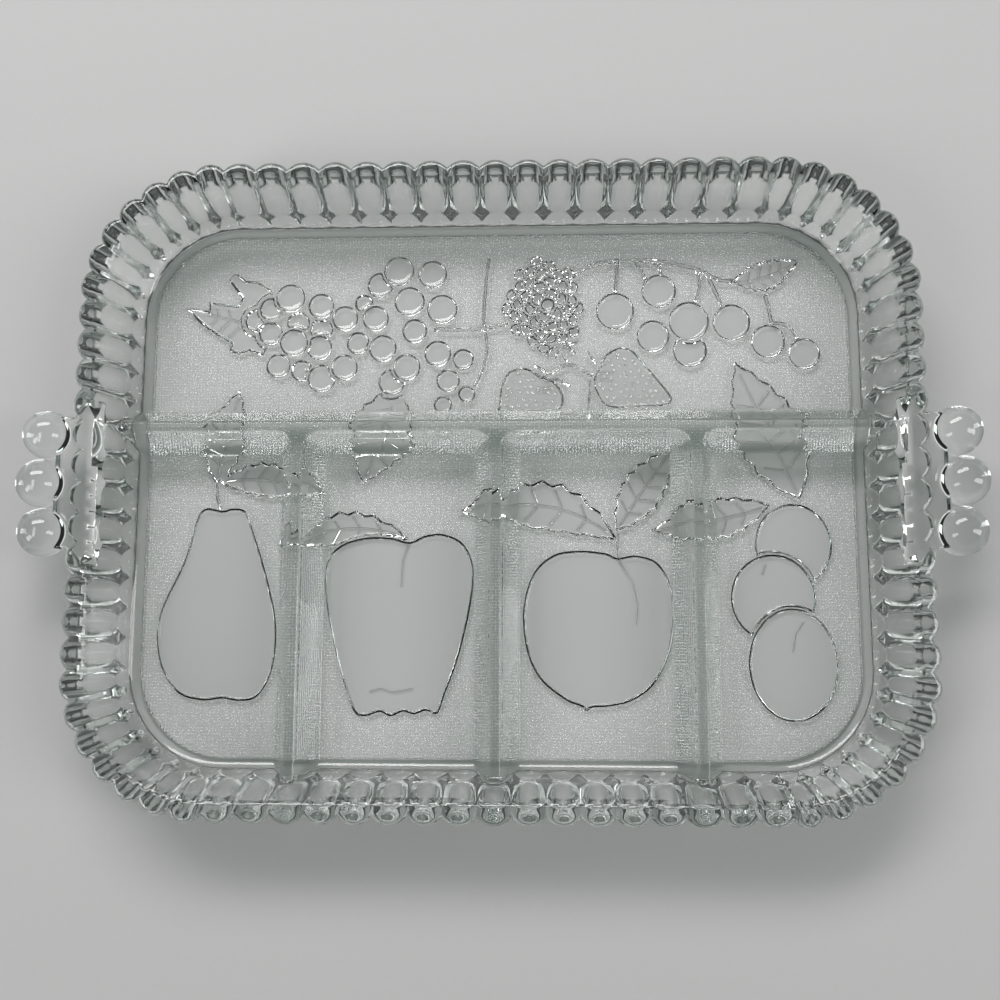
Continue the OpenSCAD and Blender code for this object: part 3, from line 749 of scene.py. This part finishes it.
def cad_outlines(node):
    """The outline of each solid of a CAD node on the floor's underside, as a closed line."""
    shape, islands = cad_islands(node)
    outlines = []

    def on_underside(part):
        return all(abs(v.co.z - FOOT_H) < WELD for v in part.verts)

    for island in islands:
        links = {}
        for edge in {e for v in island for e in v.link_edges}:
            if on_underside(edge) and [on_underside(f) for f in edge.link_faces].count(False) == 1:
                a, b = edge.verts
                links.setdefault(a, []).append(b)
                links.setdefault(b, []).append(a)
        line = [min(links, key=lambda v: tuple(v.co))]
        while True:
            onward = [v for v in links[line[-1]] if v not in line[-2:]]
            if not onward or onward[0] is line[0]:
                break
            line.append(min(onward, key=lambda v: tuple(v.co)))
        outlines.append(np.array([v.co[:2] for v in line]))
    shape.free()
    return outlines


# Turn in degrees from which an outline has a sharp corner, on a fruit or stem and on a leaf
CORNER_ANGLE, LEAF_ANGLE = 35, 18


def smooth_line(points, gap, corner_angle=CORNER_ANGLE):
    """A closed line through points, smooth but for sharp corners, with a point at least every gap."""
    before, after = points - np.roll(points, 1, 0), np.roll(points, -1, 0) - points
    before /= np.linalg.norm(before, axis=1)[:, None]
    long = np.linalg.norm(after, axis=1)
    after /= long[:, None]
    corner = np.einsum("ij,ij->i", before, after) < math.cos(math.radians(corner_angle))
    line = []
    for i, k in ring_edges(len(points)):
        b, c, step = points[i], points[k], long[i]
        a = b - step * (after[i] if corner[i] else before[i])
        d = c + step * (after[i] if corner[k] else after[k])
        for t in np.linspace(0, 1, max(math.ceil(step / gap), 1), endpoint=False):
            line.append((2 * b + (c - a) * t + (2 * a - 5 * b + 4 * c - d) * t ** 2
                         + (3 * b - a - 3 * c + d) * t ** 3) / 2)
    return np.array(line)


def even_line(line, gap, fewest=12):
    """Points at even steps of about a gap along a closed line."""
    closed = np.concatenate([line, line[:1]])
    along = np.concatenate([[0], np.cumsum(np.linalg.norm(np.diff(closed, axis=0), axis=1))])
    steps = np.linspace(0, along[-1], max(round(along[-1] / gap), fewest), endpoint=False)
    return np.column_stack([np.interp(steps, along, closed[:, k]) for k in (0, 1)])


def inward_of(line):
    """The way in at each point of a closed line, and 1 or -1 for the side on which it turns."""
    run = np.roll(line, -1, 0) - np.roll(line, 1, 0)
    inward = np.column_stack([-run[:, 1], run[:, 0]]) / np.linalg.norm(run, axis=1)[:, None]
    area = np.sum(line[:, 0] * np.roll(line[:, 1], -1) - line[:, 1] * np.roll(line[:, 0], -1))
    return inward * np.sign(area), np.sign(area)


def toothed(line, depth):
    """A leaf's outline with its notches pressed deeper."""
    inward, way = inward_of(line)
    before, after = line - np.roll(line, 1, 0), np.roll(line, -1, 0) - line
    notch = way * (before[:, 0] * after[:, 1] - before[:, 1] * after[:, 0]) < 0
    return line + inward * (notch * depth)[:, None]


def distance_in(points, line):
    """How far each point lies inside a closed line, and zero for those outside it."""
    a, b = line, np.roll(line, -1, 0)
    run = b - a
    found = np.zeros(len(points))
    for k, (x, y) in enumerate(points):
        away = np.array([x, y]) - a
        t = np.clip(np.einsum("ij,ij->i", away, run) / np.einsum("ij,ij->i", run, run), 0, 1)
        crosses = (a[:, 1] > y) != (b[:, 1] > y)
        at = a[crosses, 0] + (y - a[crosses, 1]) / run[crosses, 1] * run[crosses, 0]
        if (x < at).sum() % 2:
            found[k] = np.linalg.norm(away - t[:, None] * run, axis=1).min()
    return found


def grid_in(line, gap, margin):
    """Points in staggered rows inside a closed line, at least a margin from it."""
    low, high = line.min(0), line.max(0)
    rows = np.arange(low[1], high[1], gap * math.sin(math.pi / 3))
    grid = np.array([(x + i % 2 * gap / 2, y)
                     for i, y in enumerate(rows) for x in np.arange(low[0], high[0], gap)])
    return grid[distance_in(grid, line) > margin]


# Rings of points inside an outline: shares of its sloping edge, and of the dome within the edge
EDGE_RINGS = np.array([0.4, 0.75, 1])
DOME_RINGS = np.array([0.15, 0.4, 0.7])
FACE_RING = 1.4

# A ring's point is dropped where the outline comes nearer than this share of the ring's distance
RING_SHARE = 0.97

# Greatest depth of a flat form and of a round fruit, in widths of their sloping edges
FLAT_STEEPNESS, ROUND_STEEPNESS = 1.35, 1.9

# How much of a sloping edge's rise is rounded off at its top
TOP_ROUNDING = 0.25

# Fewest points across a small round fruit's outline, and rings where its outline is hollow
POINTS_ACROSS = 7
HOLLOW_RINGS = 5


def raised(line, relief, rise, offsets, face_gap):
    """A closed form under the floor, where rise gives its depth at each distance in."""
    inward, _ = inward_of(line)
    places = [line]
    for offset in offsets:
        ring = line + inward * offset
        places.append(ring[distance_in(ring, line) > RING_SHARE * offset])
    places.append(grid_in(line, face_gap, offsets[-1] + face_gap / 2))
    flat, faces, origins = triangulated(np.concatenate(places), len(line), RELIEF_EPSILON)
    rim_at = {first: i for i, group in enumerate(origins) for first in group}
    return lowered(line, relief, rise, flat, faces, [rim_at[i] for i in range(len(line))])


def lowered(line, relief, rise, flat, faces, rim):
    """Presses a flat sheet down from the floor's underside and closes it up into the floor."""
    inside = distance_in(flat, line)
    inside[rim] = 0
    points = np.column_stack([flat, FOOT_H - rise(inside)])
    return closed_rim(points, faces, rim, FOOT_H + relief.bury)


def slope(part):
    """Rise across a sloping edge, from 0 to 1: straight, and rounded off at its top."""
    part = np.minimum(part, 1)
    return part * (1 + TOP_ROUNDING - TOP_ROUNDING * part ** 4)


def plateau(outline, relief, edge, corner_angle=CORNER_ANGLE):
    """A flat form with a sloping edge and a faintly domed face, no deeper than the edge carries."""
    depth = min(RELIEF_H, FLAT_STEEPNESS * edge)

    def rise(inside):
        dome = np.minimum(inside / relief.dome_run, 1)
        return depth * ((1 - relief.dome_share) * slope(inside / edge)
                        + relief.dome_share * dome * (2 - dome))

    line = smooth_line(outline, relief.point_gap, corner_angle)
    return raised(line, relief, rise, edge * np.append(EDGE_RINGS, FACE_RING), relief.face_gap)


def round_fruit(outline, relief):
    """A round fruit, or what shows of it behind others: a sloping edge and a dome."""
    gap = min(relief.point_gap, np.ptp(outline, axis=0).max() / POINTS_ACROSS)
    line = even_line(smooth_line(outline, gap / 2), gap)
    grid = grid_in(line, relief.point_gap / 2, 0)
    depths = distance_in(grid, line)
    centre, reach = grid[depths.argmax()], depths.max()
    edge = min(relief.flank, relief.flank_share * reach)
    depth = min(RELIEF_H, ROUND_STEEPNESS * edge)

    def rise(inside):
        dome = 1 - (1 - np.minimum(inside / reach, 1)) ** 3
        return depth * ((1 - relief.cap_share) * slope(inside / edge) + relief.cap_share * dome)

    rings = np.concatenate([edge * EDGE_RINGS, edge + (reach - edge) * DOME_RINGS])
    spokes = centre - line
    after = np.roll(spokes, -1, 0)
    turns = spokes[:, 0] * after[:, 1] - spokes[:, 1] * after[:, 0]
    if (turns > 0).any() and (turns < 0).any():
        return raised(line, relief, rise, rings[:HOLLOW_RINGS], reach / 4)
    shares = rings / np.maximum(np.linalg.norm(spokes, axis=1), reach)[:, None]
    n, count = len(line), len(rings)
    flat = np.concatenate([line] + [line + spokes * shares[:, k, None] for k in range(count)]
                          + [[centre]])
    faces = [(k * n + i, k * n + j, k * n + n + j, k * n + n + i)
             for k in range(count) for i, j in ring_edges(n)]
    faces += [(count * n + i, count * n + j, count * n + n) for i, j in ring_edges(n)]
    return lowered(line, relief, rise, flat, faces, list(range(n)))


# Leaves: base and tip as shares of the floor's half width and half depth, then the bend of the
# midrib and the greatest half width as shares of the leaf's length
LEAF_SHARES = [
    (-0.294, 0.398, -0.39, 0.015, 0.02, 0.32), (0.682, 0.813, 0.881, 0.898, -0.07, 0.23),
    (-0.809, 0.021, -0.748, 0.402, 0.03, 0.22), (-0.802, 0.03, -0.498, -0.018, 0.075, 0.17),
    (-0.248, -0.193, -0.645, -0.224, -0.11, 0.13), (0.339, -0.195, -0.127, -0.089, -0.135, 0.15),
    (0.336, -0.16, 0.51, 0.176, 0.01, 0.21), (0.769, -0.063, 0.424, -0.161, 0.025, 0.17),
    (0.853, -0.041, 0.677, 0.501, -0.01, 0.23), (-0.66, 0.64, -0.91, 0.722, 0.0, 0.3)]

# Fine lines on the fruits: places along each as shares of the floor's half width and half depth
LINE_SHARES = [
    [(-0.252, -0.206), (-0.268, -0.271), (-0.272, -0.373)],
    [(-0.358, -0.763), (-0.324, -0.752), (-0.29, -0.766), (-0.236, -0.752)],
    [(0.343, -0.271), (0.38, -0.355), (0.393, -0.439), (0.388, -0.513)],
    [(0.852, -0.5), (0.829, -0.545), (0.821, -0.613)], [(0.753, -0.285), (0.742, -0.327)],
    [(0.111, 0.388), (0.132, 0.399), (0.154, 0.399)], [(0.111, 0.386), (0.134, 0.377), (0.154, 0.39)],
    [(0.289, 0.452), (0.315, 0.46), (0.336, 0.456)], [(0.294, 0.429), (0.314, 0.43), (0.333, 0.428)]]

# Sepals of the berries, and stalks of a cherry, the apple and the pear: places along each, as
# shares in the same way
STROKE_SHARES = [
    [(0.101, 0.486), (0.126, 0.467), (0.148, 0.452)], [(0.154, 0.431), (0.185, 0.42), (0.214, 0.397)],
    [(0.261, 0.541), (0.272, 0.511), (0.286, 0.486)], [(0.269, 0.431), (0.264, 0.361), (0.261, 0.298)],
    [(0.186, 0.53), (0.197, 0.507), (0.208, 0.487)], [(0.189, 0.566), (0.211, 0.566), (0.233, 0.575)],
    [(0.19, 0.559), (0.21, 0.547), (0.226, 0.53)], [(0.179, 0.551), (0.172, 0.531), (0.167, 0.51)],
    [(0.172, 0.559), (0.155, 0.545), (0.136, 0.52)], [(0.446, 0.893), (0.471, 0.88), (0.475, 0.83)],
    [(0.34, -0.165), (0.339, -0.214), (0.342, -0.268)],
    [(-0.809, 0.03), (-0.803, -0.031), (-0.794, -0.082)]]

# Veins: points along the midrib, side veins along it, points along these, and how far they lean
RIB_SHARES = np.linspace(0.06, 0.9, 16)
SIDE_SHARES = (0.2, 0.35, 0.5, 0.65)
VEIN_SHARES = np.linspace(0.08, 0.75, 6)
VEIN_LEAN = 0.6

# Power that brings the greatest width and bend of a leaf nearer to its base
LEAF_POWER = 0.85

# Least distance of a vein from the leaf's outline, and of a seed from the berry's, in shoulders
VEIN_MARGIN, SEED_MARGIN = 0.8, 1.3

# A stroke's points, and its width at the ends as a share of the greatest
STROKE_POINTS, STROKE_END_SHARE = 13, 0.3

# Segments and rings of a handle's ball and of a seed, and sides of a fine line
BALL_MESH, SEED_MESH, LINE_SIDES = (60, 30), (8, 6), 6

# How far seeds stray from their rows, in pitches, and the seed of that random draw
SEED_STRAY, SEED_DRAW = 0.25, 7


def on_floor(pairs):
    """Places on the floor from shares of its half width and half depth."""
    return [np.array([x * HALF_W, y * HALF_D]) for x, y in pairs]


def veins(shares):
    """Lines along the midrib of a leaf and along its side veins, which stop short of the midrib."""
    bend, width = shares[4:]
    base, tip = on_floor((shares[:2], shares[2:4]))
    run, across = tip - base, np.array([base[1] - tip[1], tip[0] - base[0]])

    def swell(t):
        return math.sin(math.pi * t ** LEAF_POWER)

    def rib(t):
        return base + t * run + across * bend * swell(t)

    lines = [[rib(t) for t in RIB_SHARES]]
    for t in SIDE_SHARES:
        for side in (-1, 1):
            way = (VEIN_LEAN * run + side * across) * (width * swell(t))
            lines.append([rib(t) + way * k for k in VEIN_SHARES])
    return lines


def stroke(places, width):
    """The outline of a stroke along a few places, widest in its middle."""
    t = np.linspace(0, 1, STROKE_POINTS)
    along = np.linspace(0, 1, len(places))
    middle = np.column_stack([np.interp(t, along, np.array(places)[:, k]) for k in (0, 1)])
    run = np.gradient(middle, axis=0)
    across = np.column_stack([-run[:, 1], run[:, 0]]) / np.linalg.norm(run, axis=1)[:, None]
    swell = STROKE_END_SHARE + (1 - STROKE_END_SHARE) * np.sin(math.pi * t)
    half = width / 2 * swell[:, None]
    return np.concatenate([middle + across * half, (middle - across * half)[::-1]])


def rounds_tree():
    """Places a ball on each point, as wide and as deep as the point says."""
    tree = GeometryTree("round_forms", Segments="Int", Rings="Int", Glass="Material")
    ball = tree.add("GeometryNodeMeshUVSphere", {}, {
        "Segments": tree.input("Segments"), "Rings": tree.input("Rings"), "Radius": 1.0})
    tree.close(tree.add("GeometryNodeInstanceOnPoints", {}, {
        "Points": tree.input("Geometry"), "Instance": ball,
        "Scale": tree.attribute("radii", "FLOAT_VECTOR")}))
    return tree


def round_forms(places, radii, segments, rings):
    """A ball at each place."""
    start = mesh_of("places", places, radii=radii)
    return tidy(rounds_tree().run(start, Segments=segments, Rings=rings, Glass=clear_glass()))


def lines_tree():
    """A fine round ridge along each line."""
    tree = GeometryTree("fine_lines", Radius="Float", Glass="Material")
    line = tree.add("GeometryNodeMeshToCurve", {}, {"Mesh": tree.input("Geometry")})
    ring = tree.add("GeometryNodeCurvePrimitiveCircle", {}, {
        "Resolution": LINE_SIDES, "Radius": tree.input("Radius")})
    tree.close(tree.add("GeometryNodeCurveToMesh", {}, {
        "Curve": line, "Profile Curve": ring, "Fill Caps": True}))
    return tree


def fine_lines(lines, relief):
    """Ridges along lines on the face of the relief."""
    points, edges = [], []
    for line in lines:
        edges += [(len(points) + k, len(points) + k + 1) for k in range(len(line) - 1)]
        points += [(*place, FOOT_H - RELIEF_H + relief.line_r / 3) for place in line]
    start = mesh_of("lines", points, edges=edges)
    return tidy(lines_tree().run(start, Radius=relief.line_r, Glass=clear_glass()))


class TRAY_OT_body(bpy.types.Operator):
    """Make the fluted wall, the floor and the dividers"""

    bl_idname = "tray.body"
    bl_label = "Wall, floor and dividers"

    def execute(self, context):
        form = context.scene.tray_form
        section = Section(form)
        outside, rows = fluted_outside(form, section)
        points = np.array([v.co for v in outside.vertices])
        faces = [tuple(p.vertices) for p in outside.polygons]
        rim, under = points[0::rows], np.arange(rows - 1, len(points), rows)
        inside, triangles = inside_faces(form, section, rim)
        faces += [tuple(len(points) + i for i in t) for t in triangles]
        faces.append(tuple(int(i) for i in under))
        body = mesh_of("tray_body", np.concatenate([points, inside]), faces)
        put_away("tray_body", glazed(tidy(body)))
        return {"FINISHED"}


class TRAY_OT_handles(bpy.types.Operator):
    """Make the balls of both handles and the webs behind them"""

    bl_idname = "tray.handles"
    bl_label = "Handles"

    # Points of the hollow curve beside the web, and the bevel of its edges
    CURVE_POINTS = 9
    BEVEL_STEPS, BEVEL_ANGLE = 4, math.radians(40)

    def execute(self, context):
        form = context.scene.tray_form
        places = [(low + high) / 2 for low, high in BALLS]
        radii = [tuple((high - low) / 2) for low, high in BALLS]
        put_away("handle_balls", round_forms(places, radii, *BALL_MESH))
        for side, way in (("left", -1), ("right", 1)):
            put_away(f"{side}_web", self.web(form, *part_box(f"{side}_handle_web"), way))
        return {"FINISHED"}

    def web(self, form, low, high, way):
        """A flat web that widens in a hollow curve where it meets the wall."""
        section, r = Section(form), form.web_fillet
        middle = (low.z + high.z) / 2
        outer = section.outer_u(middle)
        root = HALF_W + (outer - form.flute_depth + section.inner_u(middle)) / 2
        wall = HALF_W + outer
        reach, end = high.y - r, max(abs(low.x), abs(high.x))
        curve = [(wall + r * (1 - math.cos(a)), reach + r * (1 - math.sin(a)))
                 for a in np.linspace(0, math.pi / 2, self.CURVE_POINTS)]
        side = [(root, reach + r)] + curve + [(end, reach)]
        outline = [(way * x, y) for x, y in side] + [(way * x, -y) for x, y in reversed(side)]
        n = len(outline)
        points = [(x, y, z) for z in (low.z, high.z) for x, y in outline]
        faces = [tuple(range(n)), tuple(range(n, 2 * n))]
        faces += [(i, k, n + k, n + i) for i, k in ring_edges(n)]
        obj = add_object("web", tidy(mesh_of("web", points, faces)))
        bevel = obj.modifiers.new("edges", "BEVEL")
        bevel.width, bevel.segments = form.web_round, self.BEVEL_STEPS
        bevel.angle_limit = self.BEVEL_ANGLE
        return glazed(tidy(baked(obj)))


class TRAY_OT_round_fruit(bpy.types.Operator):
    """Make the grapes, the cherries and the bramble berry's drupelets"""

    bl_idname = "tray.round_fruit"
    bl_label = "Grapes, cherries and bramble berry"

    def execute(self, context):
        relief = context.scene.tray_relief
        for node in ("grape_bunch", "cherries", "bramble"):
            put_solids(node, [round_fruit(line, relief) for line in cad_outlines(node)])
        return {"FINISHED"}


class TRAY_OT_large_fruit(bpy.types.Operator):
    """Make the pear, the pepper, the apple, the plums and the strawberries"""

    bl_idname = "tray.large_fruit"
    bl_label = "Large fruits"

    def execute(self, context):
        relief = context.scene.tray_relief
        edge, r, pitch = relief.shoulder, relief.seed_r, relief.seed_pitch
        for node in ("pear", "pepper", "apple", "plums", "strawberries"):
            put_solids(node, [plateau(line, relief, edge) for line in cad_outlines(node)])
        seeds = np.concatenate([grid_in(line, pitch, SEED_MARGIN * edge)
                                for line in cad_outlines("strawberries")])
        draw = np.random.default_rng(SEED_DRAW)
        seeds += draw.uniform(-SEED_STRAY, SEED_STRAY, seeds.shape) * pitch
        places = [(x, y, FOOT_H - RELIEF_H + r / 2) for x, y in seeds]
        put_away("seeds", round_forms(places, [(r, r, r)] * len(places), *SEED_MESH))
        put_away("fine_lines", fine_lines([on_floor(line) for line in LINE_SHARES], relief))
        return {"FINISHED"}


class TRAY_OT_leaves(bpy.types.Operator):
    """Make the leaves with their veins, and the stems"""

    bl_idname = "tray.leaves"
    bl_label = "Leaves and stems"

    def execute(self, context):
        relief = context.scene.tray_relief
        edge, stem_edge = relief.shoulder, relief.stem_edge
        outlines = [toothed(line, relief.tooth_depth) for line in cad_outlines("leaves")]
        put_solids("leaves", [plateau(line, relief, edge, LEAF_ANGLE) for line in outlines])
        put_solids("stems", [plateau(line, relief, stem_edge) for line in cad_outlines("stems")])
        for i, line in enumerate(STROKE_SHARES):
            outline = stroke(on_floor(line), relief.stroke_w)
            put_solids(f"sepal_{i}", [plateau(outline, relief, stem_edge)])
        kept = []
        for line in (line for shares in LEAF_SHARES for line in veins(shares)):
            depths = np.max([distance_in(line, outline) for outline in outlines], axis=0)
            inside = depths > VEIN_MARGIN * edge
            runs = np.split(np.arange(len(line)), np.flatnonzero(np.diff(inside)) + 1)
            run = max((r for r in runs if inside[r[0]]), key=len, default=[])
            if len(run) > 2:
                kept.append([line[k] for k in run])
        put_away("veins", fine_lines(kept, relief))
        return {"FINISHED"}


class TRAY_OT_press(bpy.types.Operator):
    """Join all the forms into one body of glass"""

    bl_idname = "tray.press"
    bl_label = "Press the glass"

    # Angle between faces from which their edge stays sharp
    SHARP_ANGLE = math.radians(32)

    def execute(self, context):
        forms = bpy.data.collections["tray_forms"]
        body = forms.objects["tray_body"]
        forms.objects.unlink(body)
        context.scene.collection.objects.link(body)
        join = body.modifiers.new("join", "BOOLEAN")
        join.operation, join.solver = "UNION", "MANIFOLD"
        join.operand_type, join.collection = "COLLECTION", forms
        mesh = baked(body)
        for obj in list(forms.objects):
            bpy.data.objects.remove(obj)
        bpy.data.collections.remove(forms)
        mesh.name = "pressed_glass_tray"
        mesh.shade_smooth()
        mesh.set_sharp_from_angle(angle=self.SHARP_ANGLE)
        form = context.scene.tray_form
        mesh.normals_split_custom_set(inside_normals(form, Section(form), mesh).tolist())
        tray = add_object("pressed_glass_tray", mesh)
        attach(tray, "root")
        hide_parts(*frame["nodes"])
        return {"FINISHED"}


# Softboxes, all turned to the tray: name, place, width and height in metres, and power in watts
SOFTBOXES = (
    ("back_softbox", (-0.25, 0.85, 0.9), (1.1, 0.35), 11.5),
    ("side_softbox", (0.95, -0.15, 0.8), (0.35, 0.8), 5.5),
    ("front_softbox", (-0.85, -0.5, 0.75), (0.3, 0.6), 3.5))

# Floor: its shader's constants, the grain's points per metre, and the least and the change of tone
FLOOR_SOCKETS = {"Roughness": 0.9, "Specular IOR Level": 0.1, "Emission Strength": 1.0}
GRAIN_SCALE, GRAIN_LEAST, GRAIN_CHANGE = 400.0, 0.985, 0.03

# Heights between which the backdrop gives way to the room, as parts of the way straight up
BACKDROP_LOW, BACKDROP_HIGH = 0.1, 0.45

# Camera: sensor's width in millimetres, and the nearest and farthest distance that it sees
SENSOR_W, CLIP_NEAR, CLIP_FAR = 36.0, 0.01, 20


class TRAY_OT_stage(bpy.types.Operator):
    """Set the floor, the light and the camera"""

    bl_idname = "tray.stage"
    bl_label = "Stage"

    def execute(self, context):
        scene, stage = context.scene, context.scene.tray_stage
        scene.view_settings.view_transform = "Standard"
        self.floor(stage)
        self.world(scene, stage)
        for softbox in SOFTBOXES:
            self.softbox(*softbox)
        self.camera(scene, stage)
        return {"FINISHED"}

    def floor(self, stage):
        """A plain floor, which is seen to keep its colour beyond the softboxes' reach."""
        half = stage.floor_size / 2
        corners = [(-half, -half, 0), (half, -half, 0), (half, half, 0), (-half, half, 0)]
        mesh = mesh_of("floor", corners, [(0, 1, 2, 3)])
        material = bpy.data.materials.new("plain_floor")
        material.use_nodes = True
        shader = material.node_tree.nodes["Principled BSDF"]
        for socket, value in FLOOR_SOCKETS.items():
            shader.inputs[socket].default_value = value
        graph = Graph(material.node_tree)
        place = graph.add("ShaderNodeTexCoord", output="Object")
        grain = graph.add("ShaderNodeTexNoise", {}, {
            "Vector": place, "Scale": GRAIN_SCALE, "Detail": 2.0})
        plain = graph.add("ShaderNodeCombineXYZ", {}, dict(zip("XYZ", stage.floor_colour)))
        shade = graph.vector("SCALE", plain, GRAIN_LEAST + GRAIN_CHANGE * grain)
        reach = graph.add("ShaderNodeVectorMath", {"operation": "LENGTH"}, {0: place},
                          output="Value")
        far = graph.fade(reach, stage.lit_near, stage.lit_far)
        glow = graph.vector("SCALE", shade, far * graph.seen() * stage.far_share)
        for tone, socket in ((shade, "Base Color"), (glow, "Emission Color")):
            material.node_tree.links.new(tone.socket, shader.inputs[socket])
        mesh.materials.append(material)
        add_object("floor", mesh)

    def world(self, scene, stage):
        """A pale backdrop low down, and a dim room above it."""
        world = bpy.data.worlds.new("studio")
        world.use_nodes = True
        graph = Graph(world.node_tree)
        way = graph.add("ShaderNodeTexCoord", output="Generated")
        up = graph.fade(graph.axis(way, "Z"), BACKDROP_LOW, BACKDROP_HIGH)
        mixed = graph.add("ShaderNodeMix", {"data_type": "RGBA"}, {
            "Factor": graph.seen() * (1 - up), 6: (*stage.room_colour, 1),
            7: (*stage.horizon_colour, 1)}, output=2)
        background = world.node_tree.nodes["Background"]
        world.node_tree.links.new(mixed.socket, background.inputs["Color"])
        scene.world = world

    def softbox(self, name, place, size, power):
        """A lamp that looks at the tray."""
        lamp = bpy.data.lights.new(name, "AREA")
        lamp.shape, lamp.size, lamp.size_y, lamp.energy = "RECTANGLE", *size, power
        obj = add_object(name, lamp)
        obj.location = place
        obj.rotation_euler = obj.location.to_track_quat("Z", "Y").to_euler()

    def camera(self, scene, stage):
        """The camera at the photo's angle."""
        camera = bpy.data.cameras.new("camera")
        camera.lens, camera.sensor_width = stage.lens, SENSOR_W
        camera.clip_start, camera.clip_end = CLIP_NEAR, CLIP_FAR
        obj = add_object("camera", camera)
        obj.location, obj.rotation_euler = stage.camera_place, stage.camera_turn
        scene.camera = obj


OPERATORS = (TRAY_OT_body, TRAY_OT_handles, TRAY_OT_round_fruit, TRAY_OT_large_fruit,
             TRAY_OT_leaves, TRAY_OT_press, TRAY_OT_stage)
SETTINGS = {"tray_form": TrayForm, "tray_relief": ReliefForm, "tray_glass": GlassFinish,
            "tray_stage": StageSettings}


class TRAY_PT_panel(bpy.types.Panel):
    """Lists the steps that make the tray"""

    bl_idname = "TRAY_PT_panel"
    bl_label = "Relish Tray"
    bl_space_type = "VIEW_3D"
    bl_region_type = "UI"
    bl_category = "Relish Tray"

    def draw(self, context):
        for operator in OPERATORS:
            self.layout.operator(operator.bl_idname)
        for name, group in SETTINGS.items():
            box = self.layout.box()
            for title in group.__annotations__:
                box.prop(getattr(context.scene, name), title)


def register():
    for kind in (*SETTINGS.values(), *OPERATORS, TRAY_PT_panel):
        bpy.utils.register_class(kind)
    for name, group in SETTINGS.items():
        setattr(bpy.types.Scene, name, PointerProperty(type=group))


def unregister():
    for name in SETTINGS:
        delattr(bpy.types.Scene, name)
    for kind in (TRAY_PT_panel, *reversed(OPERATORS), *SETTINGS.values()):
        bpy.utils.unregister_class(kind)


def main():
    register()
    bpy.ops.tray.body()
    bpy.ops.tray.handles()
    bpy.ops.tray.round_fruit()
    bpy.ops.tray.large_fruit()
    bpy.ops.tray.leaves()
    bpy.ops.tray.press()
    bpy.ops.tray.stage()


if __name__ == "__main__":
    main()
